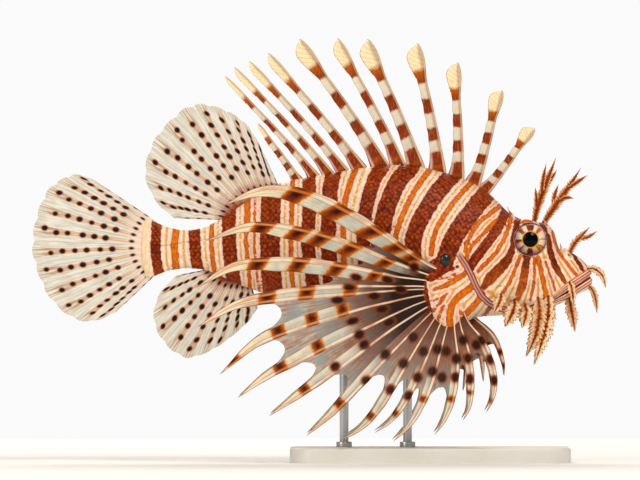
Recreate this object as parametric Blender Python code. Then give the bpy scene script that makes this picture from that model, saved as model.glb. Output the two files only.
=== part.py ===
# A red lionfish, life size, swimming level on a plain display stand.
# Sizes are in millimetres and turned to metres when a mesh is made.
# The fish looks along +X, its right side faces -Y and +Z is up; the floor is Z = 0.
# The origin is the middle of the underside of the stand's base.
import math

import bmesh
import bpy
import numpy as np

MM = 0.001
GAP = 0.3  # clearance between pieces that meet

# Stand
BASE_LENGTH = 150.0
BASE_WIDTH = 90.0
BASE_THICK = 8.0
BASE_CORNER = 14.0
ROD_RADIUS = 2.4
ROD_SIDES = 16
ROD_PLACES = (-46.0, -12.0)

# Body stations: distance along X, back, belly and half width, from the tail root to the lips
BODY = (
    (-152.0, 131.0, 98.6, 1.5),
    (-147.0, 128.4, 100.2, 2.3),
    (-139.0, 125.3, 102.9, 3.4),
    (-130.0, 124.2, 103.9, 4.5),
    (-122.0, 125.5, 103.3, 5.5),
    (-112.0, 130.2, 99.8, 7.2),
    (-100.0, 138.2, 94.4, 9.4),
    (-88.0, 146.3, 90.4, 11.6),
    (-75.0, 150.6, 87.0, 13.8),
    (-55.0, 154.2, 83.3, 16.4),
    (-30.0, 158.2, 79.9, 19.4),
    (-12.0, 159.3, 78.5, 21.2),
    (4.0, 155.8, 77.8, 22.2),
    (18.0, 151.5, 78.0, 22.6),
    (28.0, 146.6, 78.3, 22.3),
    (36.0, 139.6, 78.7, 21.3),
    (44.0, 132.2, 79.1, 19.8),
    (52.0, 129.4, 79.6, 18.2),
    (62.0, 127.8, 81.6, 15.8),
    (66.0, 124.2, 83.2, 14.7),
    (69.5, 116.0, 84.8, 13.6),
    (76.0, 112.2, 88.0, 11.6),
    (81.0, 108.8, 90.8, 9.8),
    (84.5, 105.0, 92.8, 7.6),
    (86.6, 101.6, 94.8, 4.6),
)
WIDEST = 0.46  # height of the widest line, as a share of the depth
BACK_POWER = 0.93  # rounder than an ellipse below 1, sharper above it
BELLY_POWER = 0.84
RING_POINTS = 32
NOSE_X = 87.4
STEM_X = -118.0  # where the tail stem parts from the trunk
TAIL_X = -152.0
TAIL_ROUND = 2.4  # how far the middle of the tail root stands behind its corners
TAIL_ROUND_REACH = 12.0
TAIL_MIDDLE = 114.8
TAIL_HALF_DEPTH = 16.2

# Rim of the gill cover: the parting line of head and trunk, seen from the side
RIM_X = 15.5
RIM_Z = 116.0
RIM_BEND_LOW = 0.0185
RIM_BEND_HIGH = 0.012
RIM_REACH = 34.0
RIM_LIFT = 0.9  # how far the gill cover's edge stands off the flank

# Eye
EYE = (53.6, 119.3)
EYE_RADIUS = 8.7
EYE_DEPTH = 7.3
EYE_SIDE = 9.6
ORBIT_RADIUS = 9.0
ORBIT_LIFT = 1.8
BROW_LIFT = 5.2  # the bony brow over each eye
BROW_SIDE = 11.5

# Mouth line, from in front of the lips to the corner of the jaw and out under the chin
MOUTH = ((92.0, 99.6), (86.0, 98.6), (78.0, 93.4), (69.5, 88.6), (67.4, 84.0), (66.4, 74.0))
LIP_LIFT = 0.8

# Fleshy base of each pectoral fin, raised on the trunk
PAD = (7.0, -15.0, 84.0)
PAD_REACH = 12.0
PAD_PUSH = (-0.5, -3.2, -6.5)

# Pectoral rays, top to bottom: points along the ray, greatest half width, share joined by web below it
PECTORAL = (
    (((12.0, 98.5), (-6.0, 106.6), (-27.0, 120.0), (-41.0, 128.8), (-62.0, 139.6), (-80.0, 144.6),
      (-94.0, 144.0), (-109.8, 137.7)), 5.2, 0.12),
    (((9.0, 97.0), (-4.0, 100.2), (-20.0, 105.3), (-38.0, 112.3), (-57.0, 118.8), (-75.0, 123.2),
      (-97.0, 125.7), (-120.0, 118.5)), 4.3, 0.20),
    (((7.0, 95.0), (-4.0, 96.9), (-20.0, 98.2), (-45.0, 102.4), (-64.0, 105.2), (-82.0, 106.2),
      (-105.0, 104.6), (-125.4, 93.3)), 4.2, 0.42),
    (((5.0, 92.5), (-6.0, 93.4), (-26.0, 92.9), (-50.0, 91.8), (-68.0, 90.5), (-84.0, 88.5),
      (-104.0, 84.2), (-124.8, 72.4)), 3.9, 0.60),
    (((4.0, 90.5), (-6.0, 90.2), (-22.0, 87.4), (-38.0, 84.0), (-57.0, 78.4), (-72.0, 73.6),
      (-93.0, 64.2), (-112.5, 47.2)), 3.9, 0.64),
    (((3.5, 88.0), (-5.0, 86.4), (-18.0, 81.4), (-43.0, 70.2), (-60.0, 62.0), (-73.0, 54.9),
      (-88.0, 46.2), (-102.9, 34.9)), 3.8, 0.60),
    (((4.0, 86.0), (-4.0, 82.9), (-22.0, 72.2), (-38.0, 60.8), (-53.0, 49.6), (-68.0, 38.4),
      (-86.2, 25.2)), 3.5, 0.52),
    (((5.0, 84.0), (-1.5, 79.4), (-14.0, 67.6), (-27.0, 54.6), (-41.0, 39.6), (-53.0, 26.6),
      (-66.4, 14.5)), 3.1, 0.46),
    (((6.5, 83.0), (1.0, 76.4), (-8.0, 62.8), (-17.5, 47.0), (-26.5, 31.4), (-36.0, 19.8),
      (-48.2, 11.9)), 2.6, 0.46),
    (((8.5, 82.0), (4.4, 73.6), (-1.5, 60.0), (-8.2, 44.6), (-14.6, 31.2), (-21.5, 22.4),
      (-30.0, 16.1)), 2.2, 0.52),
    (((10.5, 81.5), (7.8, 71.4), (4.0, 58.6), (0.2, 44.8), (-4.6, 32.2), (-11.0, 20.8),
      (-20.4, 11.1)), 2.4, 0.55),
    (((12.5, 81.5), (12.2, 70.4), (13.4, 56.6), (12.8, 44.6), (10.8, 32.6), (7.0, 22.6),
      (2.1, 15.1)), 2.4, 0.50),
    (((14.5, 82.0), (15.8, 71.8), (19.6, 58.6), (21.4, 46.0), (21.4, 36.0), (20.2, 28.6),
      (17.1, 22.6)), 2.2, 0.42),
    (((16.5, 83.0), (20.2, 74.2), (27.4, 64.8), (32.0, 54.0), (34.2, 43.0), (33.0, 34.0),
      (29.5, 26.9)), 2.0, 0.0),
)
PECTORAL_HUB = (8.0, 88.0)
PECTORAL_OUT = 13.5  # distance of the hub from the mid plane
PECTORAL_FLARE = 0.50
PECTORAL_CURL = 0.0011
PECTORAL_ROWS = 8
RIB_ASIDE = 0.55  # how far a ray lies from the middle of its blade, as a share of the half width
UPPER_RIBS = 4  # blades whose ray follows the upper edge; in the others it follows the lower one

# Pelvic rays, front to back
PELVIC = (
    (((19.0, 81.0), (25.0, 76.0), (32.6, 69.0), (36.6, 61.6), (39.2, 52.6), (39.6, 46.1)), 1.5, 0.55),
    (((17.0, 81.0), (21.4, 74.6), (25.6, 65.0), (27.8, 55.0), (28.6, 42.9)), 1.5, 0.66),
    (((15.5, 81.0), (17.6, 73.6), (19.4, 63.0), (19.4, 50.0), (17.6, 38.0)), 1.5, 0.72),
    (((14.0, 81.0), (13.8, 73.0), (12.4, 62.0), (9.6, 50.0), (5.4, 39.4)), 1.4, 0.74),
    (((12.5, 81.0), (10.2, 73.6), (6.2, 63.6), (1.0, 54.0), (-5.4, 45.4)), 1.3, 0.72),
    (((11.0, 81.0), (6.8, 75.0), (0.6, 67.6), (-6.0, 60.6), (-12.6, 55.0)), 1.2, 0.0),
)
PELVIC_HUB = (15.0, 80.0)
PELVIC_OUT = 4.6
PELVIC_FLARE = 0.30
PELVIC_ROWS = 7

# Dorsal spines, front to back: base on the back, tip, width of blade and of leaf at the tip
SPINES = (
    ((31.6, 143.6), (56.2, 179.0), 5.2, 6.6),
    ((26.6, 147.6), (38.6, 199.4), 5.8, 7.2),
    ((18.2, 151.7), (14.5, 214.4), 5.8, 7.0),
    ((8.6, 154.8), (-7.0, 224.5), 6.0, 7.6),
    ((-2.7, 157.4), (-33.7, 226.7), 6.0, 8.2),
    ((-13.0, 159.4), (-49.8, 227.2), 5.6, 7.0),
    ((-22.0, 159.4), (-70.2, 226.7), 5.8, 7.4),
    ((-34.0, 157.6), (-86.8, 219.2), 4.6, 4.4),
    ((-43.6, 156.4), (-97.0, 214.9), 3.6, 3.2),
    ((-51.6, 155.2), (-105.0, 211.7), 3.2, 2.8),
    ((-59.4, 153.6), (-109.8, 206.9), 3.0, 2.6),
    ((-69.0, 152.0), (-92.1, 181.7), 3.4, 2.4),
)
SPINE_BOW = 0.015  # forward bow of a spine, as a share of its length
SPINE_SINK = 3.0
SPINE_STEPS = (0.0, 0.05, 0.10, 0.24, 0.40, 0.56, 0.70, 0.79, 0.90, 1.0)  # rows, as shares of the length
SPINE_WEB = 2  # rows joined by the low web
LEAF_START = 0.72

# Median fins: first and last ray root, ray tips and how far the rays bow
SOFT_DORSAL_ROOTS = ((-81.6, 149.2), (-112.4, 129.8))
SOFT_DORSAL_TIPS = ((-87.2, 161.4), (-92.4, 172.2), (-98.2, 180.8), (-105.6, 186.6), (-114.2, 190.4),
                    (-123.4, 192.0), (-132.2, 189.2), (-140.6, 181.8), (-147.6, 173.0), (-152.0, 162.0),
                    (-152.2, 150.6), (-146.0, 138.6), (-137.0, 130.6))
ANAL_ROOTS = ((-95.0, 92.9), (-121.0, 103.0))
ANAL_TIPS = ((-92.2, 82.6), (-97.4, 75.2), (-104.6, 68.6), (-112.6, 62.6), (-121.0, 58.0), (-130.4, 55.8),
             (-139.0, 60.4), (-145.6, 68.8), (-148.2, 79.4), (-144.6, 90.6), (-136.0, 100.0))
CAUDAL_ROOTS = ((-149.6, 131.0), (-154.6, 115.0), (-148.4, 99.0))
CAUDAL_TIPS = ((-180.6, 151.6), (-189.6, 154.2), (-197.6, 151.6), (-204.6, 146.0), (-209.4, 136.4),
               (-212.4, 125.0), (-213.0, 112.4), (-210.0, 101.0), (-205.2, 90.2), (-197.0, 80.8),
               (-187.0, 75.6), (-177.0, 76.4), (-168.0, 80.6))
MEDIAN_ROWS = 6
MEDIAN_WAVE = 1.1  # sideways ripple of a median fin at its margin

# Half thicknesses
RAY_HALF = 0.65
EDGE_HALF = 0.3
WEB_HALF = 0.3
SPINE_HALF = 0.8

# Fringed tentacles and flaps: points from root to tip and greatest half width
BROW_RIGHT = (
    (((55.6, -7.0, 127.6), (57.4, -9.0, 136.0), (62.4, -11.6, 150.0), (67.5, -13.0, 163.5)), 2.0),
    (((56.8, -8.2, 133.0), (57.0, -10.0, 140.0), (56.2, -12.0, 147.4)), 1.4),
    (((59.4, -10.2, 141.6), (60.4, -12.6, 151.0), (62.1, -14.6, 160.2)), 1.4),
    (((60.8, -10.9, 146.0), (64.6, -10.6, 151.6), (68.0, -10.0, 156.6)), 1.4),
)
BROW_LEFT = (
    (((60.2, 7.0, 126.4), (65.0, 9.0, 134.0), (74.6, 11.8, 147.6), (81.4, 13.0, 158.1)), 2.0),
    (((66.0, 9.4, 135.6), (67.0, 11.6, 143.0), (69.2, 13.4, 149.0)), 1.4),
    (((68.4, 10.1, 139.0), (72.6, 9.4, 141.6), (77.4, 8.6, 141.4)), 1.4),
    (((73.4, 11.5, 146.0), (79.6, 11.0, 150.4), (84.6, 10.4, 153.8)), 1.4),
)
NASAL = (
    (((74.0, -4.6, 110.6), (77.4, -5.6, 117.0), (81.6, -6.6, 121.8), (85.6, -7.2, 126.0)), 1.5),
    (((79.0, -6.0, 119.2), (84.6, -5.4, 120.6), (89.6, -5.0, 123.8)), 1.2),
)
BARBEL_FRONT = (((62.4, -10.6, 91.0), (63.4, -14.0, 83.0), (61.0, -15.0, 69.0), (55.7, -15.6, 52.0)), 2.6)
BARBEL_REAR = (((57.4, -12.6, 89.5), (58.4, -15.6, 81.0), (56.6, -16.8, 69.0), (51.4, -17.4, 56.3)), 2.4)
HEAD_FLAPS = (
    (((82.4, -4.4, 103.4), (87.6, -6.6, 103.6), (92.2, -7.6, 100.0), (94.3, -8.0, 93.3)), 1.3),
    (((73.4, -10.2, 98.6), (75.6, -12.8, 93.6), (76.9, -13.4, 83.6)), 1.3),
    (((50.8, -13.6, 84.4), (51.4, -17.4, 79.6), (49.3, -18.4, 71.9)), 1.3),
    (((45.0, -15.6, 87.0), (44.6, -19.6, 82.0), (40.2, -20.4, 72.4)), 1.3),
    (((38.0, -18.0, 90.6), (37.4, -21.6, 86.6), (33.7, -22.2, 79.6)), 1.2),
)
JAW_FLAPS = (
    (((84.0, -2.6, 95.6), (87.2, -4.8, 92.0), (88.8, -5.4, 86.6), (89.5, -5.8, 79.9)), 1.2),
    (((74.4, -4.8, 89.4), (75.2, -6.8, 84.0), (76.6, -7.4, 76.6), (77.7, -7.8, 69.7)), 1.2),
)
FLAP_ROWS = 5
FLAP_ROOT_HALF = 1.1
# Bony points of the head: root, tip, root radius
HEAD_SPINES = (
    ((44.6, -6.0, 130.6), (41.2, -7.0, 137.2), 1.6),
    ((36.0, -7.0, 135.6), (31.0, -8.2, 140.6), 1.4),
    ((42.0, -17.6, 96.0), (35.0, -21.4, 94.0), 1.6),
    ((46.6, -16.0, 89.6), (40.6, -19.6, 85.4), 1.5),
)

COLOURS = {
    "flesh": (0.42, 0.10, 0.03),
    "eye": (0.05, 0.03, 0.02),
    "fin": (0.72, 0.60, 0.46),
    "spine": (0.60, 0.30, 0.14),
    "tentacle": (0.45, 0.16, 0.06),
    "stand": (0.10, 0.10, 0.11),
    "rod": (0.55, 0.55, 0.57),
}
ROUGHNESS = {"eye": 0.12, "stand": 0.35, "rod": 0.28}
METALLIC = {"rod": 1.0}

BODY_X, BODY_TOP, BODY_BOTTOM, BODY_HALF = np.array(BODY).T


def clear_scene():
    for thing in list(bpy.data.objects):
        bpy.data.objects.remove(thing, do_unlink=True)


def finish(node, kind):
    colour = COLOURS[kind]
    material = bpy.data.materials.new(node.name)
    material.use_nodes = True
    shader = material.node_tree.nodes["Principled BSDF"]
    shader.inputs["Base Color"].default_value = (*colour, 1.0)
    shader.inputs["Roughness"].default_value = ROUGHNESS.get(kind, 0.5)
    shader.inputs["Metallic"].default_value = METALLIC.get(kind, 0.0)
    node.data.materials.clear()
    node.data.materials.append(material)
    node.data.shade_smooth()
    node.data.set_sharp_from_angle(angle=math.radians(40.0))
    return node


def make_object(name, points, faces):
    mesh = bpy.data.meshes.new(name)
    mesh.from_pydata([tuple(float(v) * MM for v in p) for p in points], [], faces)
    mesh.validate()
    work = bmesh.new()
    work.from_mesh(mesh)
    bmesh.ops.recalc_face_normals(work, faces=work.faces)
    work.to_mesh(mesh)
    work.free()
    node = bpy.data.objects.new(name, mesh)
    bpy.context.scene.collection.objects.link(node)
    return node


def steady(x, xs, values):
    # A smooth curve through the stations that never overshoots between them
    widths = np.diff(xs)
    slopes = np.diff(values) / widths
    same = slopes[:-1] * slopes[1:] > 0.0
    inner = np.where(same, 2.0 * slopes[:-1] * slopes[1:] / np.where(same, slopes[:-1] + slopes[1:], 1.0), 0.0)
    tangent = np.concatenate([slopes[:1], inner, slopes[-1:]])
    x = np.clip(x, xs[0], xs[-1])
    i = np.clip(np.searchsorted(xs, x, side="right") - 1, 0, len(widths) - 1)
    t = (x - xs[i]) / widths[i]
    rise = values[i] * (2.0 * t**3 - 3.0 * t**2 + 1.0) + values[i + 1] * (3.0 * t**2 - 2.0 * t**3)
    lean = tangent[i] * (t**3 - 2.0 * t**2 + t) + tangent[i + 1] * (t**3 - t**2)
    return rise + lean * widths[i]


def smooth_path(points, count):
    # Evenly spaced points on a smooth curve through the given ones
    given = np.array(points, float)
    ends = np.vstack([2.0 * given[0] - given[1], given, 2.0 * given[-1] - given[-2]])
    fine = []
    for i in range(1, len(ends) - 2):
        for t in np.linspace(0.0, 1.0, 12, endpoint=False):
            a, b, c, d = ends[i - 1 : i + 3]
            fine.append(0.5 * (2.0 * b + (c - a) * t + (2.0 * a - 5.0 * b + 4.0 * c - d) * t * t
                               + (3.0 * b - a - 3.0 * c + d) * t**3))
    fine = np.vstack([fine, given[-1]])
    run = np.concatenate([[0.0], np.cumsum(np.linalg.norm(np.diff(fine, axis=0), axis=1))])
    places = np.linspace(0.0, run[-1], count)
    return np.stack([np.interp(places, run, fine[:, k]) for k in range(given.shape[1])], axis=1)


def body_point(x, angle):
    # One point of the skin at X and an angle round the body, from the right side over the back
    top = steady(x, BODY_X, BODY_TOP)
    bottom = steady(x, BODY_X, BODY_BOTTOM)
    half = steady(x, BODY_X, BODY_HALF)
    middle = bottom + WIDEST * (top - bottom)
    across = math.cos(angle)
    up = math.sin(angle)
    power = BACK_POWER if up > 0.0 else BELLY_POWER
    reach = top - middle if up > 0.0 else middle - bottom
    y = -math.copysign(abs(across) ** power, across) * half
    return y, middle + math.copysign(abs(up) ** power, up) * reach


def rim_offset(z):
    bend = RIM_BEND_HIGH if z > RIM_Z else RIM_BEND_LOW
    return bend * (z - RIM_Z) ** 2


def ring(x, shift=0.0):
    # Rings near the gill cover bend with its rim
    points = []
    share = max(0.0, 1.0 - abs(x - RIM_X) / RIM_REACH)
    tail_share = max(0.0, 1.0 - (x - TAIL_X) / TAIL_ROUND_REACH)
    for i in range(RING_POINTS):
        angle = 2.0 * math.pi * i / RING_POINTS
        at = x
        for _ in range(6):
            y, z = body_point(at, angle)
            at = x + share * rim_offset(z)
        at -= TAIL_ROUND * tail_share * (1.0 - ((z - TAIL_MIDDLE) / TAIL_HALF_DEPTH) ** 2)
        points.append(np.array([at + shift, y, z]))
    return points


def push(point, centre, reach, move):
    away = np.linalg.norm((point - centre) / reach)
    return point + np.array(move) * math.exp(-away * away)


def shape_trunk(point):
    side = -1.0 if point[1] <= 0.0 else 1.0
    centre = np.array([PAD[0], -side * PAD[1], PAD[2]])
    move = np.array([PAD_PUSH[0], -side * PAD_PUSH[1], PAD_PUSH[2]])
    return push(point, centre, PAD_REACH, move * min(1.0, abs(point[1]) / 6.0))


def shape_head(point):
    x, y, z = point
    side = -1.0 if y <= 0.0 else 1.0
    sideways = min(1.0, abs(y) / 5.0)
    # The brow squares the top of the head over each eye
    if z > EYE[1] - 6.0:
        z += BROW_LIFT * math.exp(-(((x - EYE[0]) / 9.0) ** 2)) * math.exp(-(((abs(y) - BROW_SIDE) / 4.0) ** 2))
    # The ring round the eye stands out and its middle sinks in
    away = math.hypot(x - EYE[0], z - EYE[1])
    if z > EYE[1] - 22.0:
        lift = ORBIT_LIFT * math.exp(-(((away - ORBIT_RADIUS - 1.0) / 3.0) ** 2))
        dip = 1.2 * math.exp(-((away / 7.5) ** 2))
        y += side * (lift - dip) * sideways
    # A low ridge runs from under the eye back across the cheek
    ridge = 94.0 + 0.30 * (x - 44.0)
    along = math.exp(-(((x - 50.0) / 14.0) ** 2))
    y += side * 1.3 * along * math.exp(-(((z - ridge) / 2.6) ** 2)) * sideways
    # Upper lip
    lip = np.interp(x, [m[0] for m in MOUTH[3::-1]], [m[1] for m in MOUTH[3::-1]])
    if x > 66.0:
        roll = math.exp(-(((z - lip - 2.2) / 2.2) ** 2)) + 0.8 * math.exp(-(((z - lip + 2.4) / 2.2) ** 2))
        pinch = 0.9 * math.exp(-(((z - lip) / 0.9) ** 2))
        y += side * (LIP_LIFT * roll - pinch) * sideways
    # Nostril: a small pit in front of the eye
    pit = math.hypot(x - 71.5, z - 110.0)
    y -= side * 0.8 * math.exp(-((pit / 1.8) ** 2)) * sideways
    # Edge of the gill cover
    edge = x - RIM_X - rim_offset(z)
    if z < 140.0:
        y += side * RIM_LIFT * math.exp(-((edge / 3.0) ** 2)) * sideways
    return np.array([x, y, z])


def loft(name, rings, nose=None):
    # Rings are joined into one closed body; its ends are strips from side to side, or a point
    count = RING_POINTS
    quarter = count // 4
    points = [p for one in rings for p in one]
    faces = []
    for r in range(len(rings) - 1):
        for i in range(count):
            j = (i + 1) % count
            faces.append((r * count + i, r * count + j, (r + 1) * count + j, (r + 1) * count + i))

    def cap(start):
        # Pairs of points at one height, from the top of the ring to its bottom
        for step in range(2 * quarter):
            right = (quarter - step) % count
            left = (quarter + step) % count
            right_next = (quarter - step - 1) % count
            left_next = (quarter + step + 1) % count
            corners = []
            for corner in (right, left, left_next, right_next):
                if start + corner not in corners:
                    corners.append(start + corner)
            faces.append(tuple(corners))

    cap(0)
    if nose is None:
        cap((len(rings) - 1) * count)
    else:
        tip = len(points)
        last = (len(rings) - 1) * count
        points.append(np.array(nose))
        faces.extend((last + i, last + (i + 1) % count, tip) for i in range(count))
    return make_object(name, points, faces)


def is_closed(mesh):
    work = bmesh.new()
    work.from_mesh(mesh)
    whole = len(work.faces) > 0 and all(edge.is_manifold for edge in work.edges)
    work.free()
    return whole


def apply_boolean(node, other, operation):
    # The exact solver is tried first; where it leaves an open edge the manifold one takes over
    step = node.modifiers.new("cut", "BOOLEAN")
    step.operation = operation
    if isinstance(other, bpy.types.Collection):
        step.operand_type = "COLLECTION"
        step.collection = other
    else:
        step.object = other
    for solver in ("EXACT", "MANIFOLD"):
        step.solver = solver
        bpy.context.view_layer.update()
        graph = bpy.context.evaluated_depsgraph_get()
        shaped = bpy.data.meshes.new_from_object(node.evaluated_get(graph))
        if is_closed(shaped):
            break
    node.modifiers.clear()
    node.data = shaped
    return node


def surfaces(work):
    # The separate closed surfaces of a mesh, largest volume first
    left = set(work.faces)
    found = []
    while left:
        reached = {left.pop()}
        edge = list(reached)
        while edge:
            face = edge.pop()
            for side in face.edges:
                for near in side.link_faces:
                    if near in left:
                        left.discard(near)
                        reached.add(near)
                        edge.append(near)
        found.append(reached)
    return sorted(found, key=surface_volume, reverse=True)


def surface_volume(faces):
    total = 0.0
    for face in faces:
        corners = [v.co for v in face.verts]
        for i in range(1, len(corners) - 1):
            total += corners[0].dot(corners[i].cross(corners[i + 1]))
    return total / 6.0


def keep_largest(node, skip=0):
    work = bmesh.new()
    work.from_mesh(node.data)
    found = surfaces(work)
    drop = [face for i, one in enumerate(found) if i != skip for face in one]
    bmesh.ops.delete(work, geom=drop, context="FACES")
    loose = [v for v in work.verts if not v.link_faces]
    bmesh.ops.delete(work, geom=loose, context="VERTS")
    work.to_mesh(node.data)
    work.free()
    return node


def remove(nodes):
    for node in nodes:
        bpy.data.objects.remove(node, do_unlink=True)


def grown_copy(node, by=GAP):
    # A copy whose skin stands off the node's by the clearance
    copy = node.copy()
    copy.data = node.data.copy()
    copy.name = node.name + "_clearance"
    bpy.context.scene.collection.objects.link(copy)
    work = bmesh.new()
    work.from_mesh(copy.data)
    work.normal_update()
    moves = [(v, v.normal * (by * MM * max(1.0, v.calc_shell_factor()))) for v in work.verts]
    for vertex, move in moves:
        vertex.co += move
    work.to_mesh(copy.data)
    work.free()
    copy.hide_render = True
    copy.display_type = "WIRE"
    return copy


def keep_clear(node, neighbours):
    for other in neighbours:
        cutter = grown_copy(other)
        apply_boolean(node, cutter, "DIFFERENCE")
        remove([cutter])
    return keep_largest(node)


def fuse(node, pieces):
    # One union of the node with everything that grows from it
    gathered = bpy.data.collections.new(node.name + "_pieces")
    for piece in pieces:
        for home in list(piece.users_collection):
            home.objects.unlink(piece)
        gathered.objects.link(piece)
    bpy.context.scene.collection.children.link(gathered)
    apply_boolean(node, gathered, "UNION")
    remove(pieces)
    bpy.data.collections.remove(gathered)
    return keep_largest(node)


def sheet(name, grid_points, grid_normals, halves, cells):
    # A closed sheet: one layer of cells offset to both sides and walled round its edge, with
    # the same triangles on both faces
    count = len(grid_points)
    points = [p + n * h for p, n, h in zip(grid_points, grid_normals, halves)]
    points += [p - n * h for p, n, h in zip(grid_points, grid_normals, halves)]
    triangles = []
    for a, b, c, d in cells:
        triangles.append((a, b, c))
        triangles.append((a, c, d))
    sides = {}
    for triangle in triangles:
        for i in range(3):
            a, b = triangle[i], triangle[(i + 1) % 3]
            if (b, a) in sides:
                del sides[(b, a)]
            else:
                sides[(a, b)] = True
    faces = list(triangles)
    faces += [(c + count, b + count, a + count) for a, b, c in triangles]
    for a, b in sides:
        faces.append((b, a, a + count))
        faces.append((b, a + count, b + count))
    return make_object(name, points, faces)


def blade_width(t, widest, root=0.35, tip=0.08):
    # Widens from the root to the middle and tapers to the tip
    if t < 0.5:
        return widest * (root + (1.0 - root) * math.sin(math.pi * t))
    return widest * max(tip, 1.0 - ((t - 0.5) / 0.5) ** 2.0)


def across_of(paths, j, i):
    # The direction in the side view from one ray to the next, square to the ray
    path = paths[j]
    tangent = path[min(i + 1, len(path) - 1)] - path[max(i - 1, 0)]
    square = np.array([-tangent[1], tangent[0]]) / np.linalg.norm(tangent)
    to_next = paths[j + 1][i] - path[i] if j + 1 < len(paths) else path[i] - paths[j - 1][i]
    return square if square.dot(to_next) > 0.0 else -square


def ray_fan(name, rays, rows, depth, left=False, upper_ribs=0, aside=0.0):
    # Free-tipped rays as tapering blades, each with its ray raised along it, joined by web for part
    # of their length
    paths = [smooth_path(points, rows + 1) for points, _, _ in rays]
    flat, halves, cells = [], [], []
    places = {}

    def put(key, at, half):
        places[key] = len(flat)
        flat.append(at)
        halves.append(half)

    for j, (_, widest, web) in enumerate(rays):
        for i in range(rows + 1):
            t = i / rows
            at = paths[j][i]
            across = across_of(paths, j, i)
            width = blade_width(t, widest)
            before = after = width
            if j > 0:
                before = min(width, 0.40 * np.linalg.norm(paths[j - 1][i] - at))
            if j + 1 < len(rays):
                after = min(width, 0.40 * np.linalg.norm(paths[j + 1][i] - at))
            put(("before", j, i), at - across * before, EDGE_HALF)
            rib = -aside * before if j < upper_ribs else aside * after
            put(("rib", j, i), at + across * rib, RAY_HALF * (1.0 - 0.6 * t))
            put(("after", j, i), at + across * after, EDGE_HALF)
    for j in range(len(rays)):
        for i in range(rows):
            for one, two in (("before", "rib"), ("rib", "after")):
                cells.append((places[one, j, i], places[two, j, i], places[two, j, i + 1], places[one, j, i + 1]))
    for j in range(len(rays) - 1):
        joined = max(1, round(rays[j][2] * rows))
        for i in range(joined):
            cells.append((places["after", j, i], places["before", j + 1, i],
                          places["before", j + 1, i + 1], places["after", j, i + 1]))
    sign = -1.0 if left else 1.0
    solid, normals = [], []
    for x, z in flat:
        y = depth(x, z)
        slope = ((depth(x + 0.5, z) - y) / 0.5, (depth(x, z + 0.5) - y) / 0.5)
        normal = np.array([slope[0], -1.0, slope[1]])
        normal /= np.linalg.norm(normal)
        solid.append(np.array([x, sign * y, z]))
        normals.append(normal * np.array([1.0, sign, 1.0]))
    return sheet(name, solid, normals, halves, cells)


def pectoral_depth(x, z):
    away = math.hypot(x - PECTORAL_HUB[0], z - PECTORAL_HUB[1])
    return -(PECTORAL_OUT + PECTORAL_FLARE * away - PECTORAL_CURL * away * away)


def pelvic_depth(x, z):
    away = math.hypot(x - PELVIC_HUB[0], z - PELVIC_HUB[1])
    return -(PELVIC_OUT + PELVIC_FLARE * away)


def median_fin(name, roots, tips, sink, wave):
    # A fan of rays raised as ridges on one membrane that stands on the mid plane
    solid, normals, halves, cells = [], [], [], []
    columns = 2 * len(tips) - 1
    tips = np.array(tips)
    for c in range(columns):
        share = c / (columns - 1)
        if len(roots) > 2:
            root = smooth_path(roots, columns)[c]
        else:
            root = np.array(roots[0]) * (1.0 - share) + np.array(roots[1]) * share
        tip = tips[c // 2] if c % 2 == 0 else 0.5 * (tips[c // 2] + tips[c // 2 + 1])
        run = tip - root
        root = root - run / np.linalg.norm(run) * sink
        for i in range(MEDIAN_ROWS + 1):
            t = i / MEDIAN_ROWS
            at = root * (1.0 - t) + tip * t
            sway = wave * t * math.sin(math.tau * share * 1.5)
            solid.append(np.array([at[0], sway, at[1]]))
            normals.append(np.array([0.0, -1.0, 0.0]))
            halves.append(RAY_HALF * (1.0 - 0.45 * t) if c % 2 == 0 else WEB_HALF)
    for c in range(columns - 1):
        for i in range(MEDIAN_ROWS):
            a = c * (MEDIAN_ROWS + 1) + i
            b = a + MEDIAN_ROWS + 1
            cells.append((a, b, b + 1, a + 1))
    return sheet(name, solid, normals, halves, cells)


def flag_width(t, blade, leaf):
    # Broad at the root, narrow below the tip, then the leaf
    if t <= LEAF_START:
        return blade * (1.0 - 0.35 * t)
    swell = math.sin(math.pi * (0.18 + 0.82 * (t - LEAF_START) / (1.0 - LEAF_START)))
    return max(0.9, 0.75 * blade + (leaf - 0.75 * blade) * 2.0 * swell - 0.75 * blade * max(0.0, t - 0.85) / 0.15)


def spiny_fin(name):
    # Each spine is thick along its front edge and carries a flag of skin behind it, which
    # narrows towards the tip and ends in a leaf
    solid, normals, halves, cells = [], [], [], []
    facing = np.array([0.0, -1.0, 0.0])
    last = len(SPINE_STEPS) - 1
    places = {}
    for j, (base, tip, blade, leaf) in enumerate(SPINES):
        tip = np.array(tip)
        run = tip - np.array(base)
        length = np.linalg.norm(run)
        along = run / length
        back = np.array([-along[1], along[0]])
        base = np.array(base) - along * SPINE_SINK
        for i, t in enumerate(SPINE_STEPS):
            at = base + (tip - base) * t - back * (SPINE_BOW * length * 4.0 * t * (1.0 - t))
            flag = flag_width(t, blade, leaf)
            column = ((0.0, 0.45), (1.0, SPINE_HALF * (1.0 - 0.5 * t)), (flag, EDGE_HALF))
            for k, (offset, half) in enumerate(column):
                if i == last:
                    offset *= 0.5
                places[j, i, k] = len(solid)
                place = at + back * offset
                solid.append(np.array([place[0], 0.0, place[1]]))
                normals.append(facing)
                halves.append(half)
    for j in range(len(SPINES)):
        for i in range(last):
            for k in range(2):
                cells.append((places[j, i, k], places[j, i, k + 1], places[j, i + 1, k + 1], places[j, i + 1, k]))
    for j in range(len(SPINES) - 1):
        for i in range(SPINE_WEB):
            cells.append((places[j, i, 2], places[j + 1, i, 0], places[j + 1, i + 1, 0], places[j, i + 1, 2]))
    return sheet(name, solid, normals, halves, cells)


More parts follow.
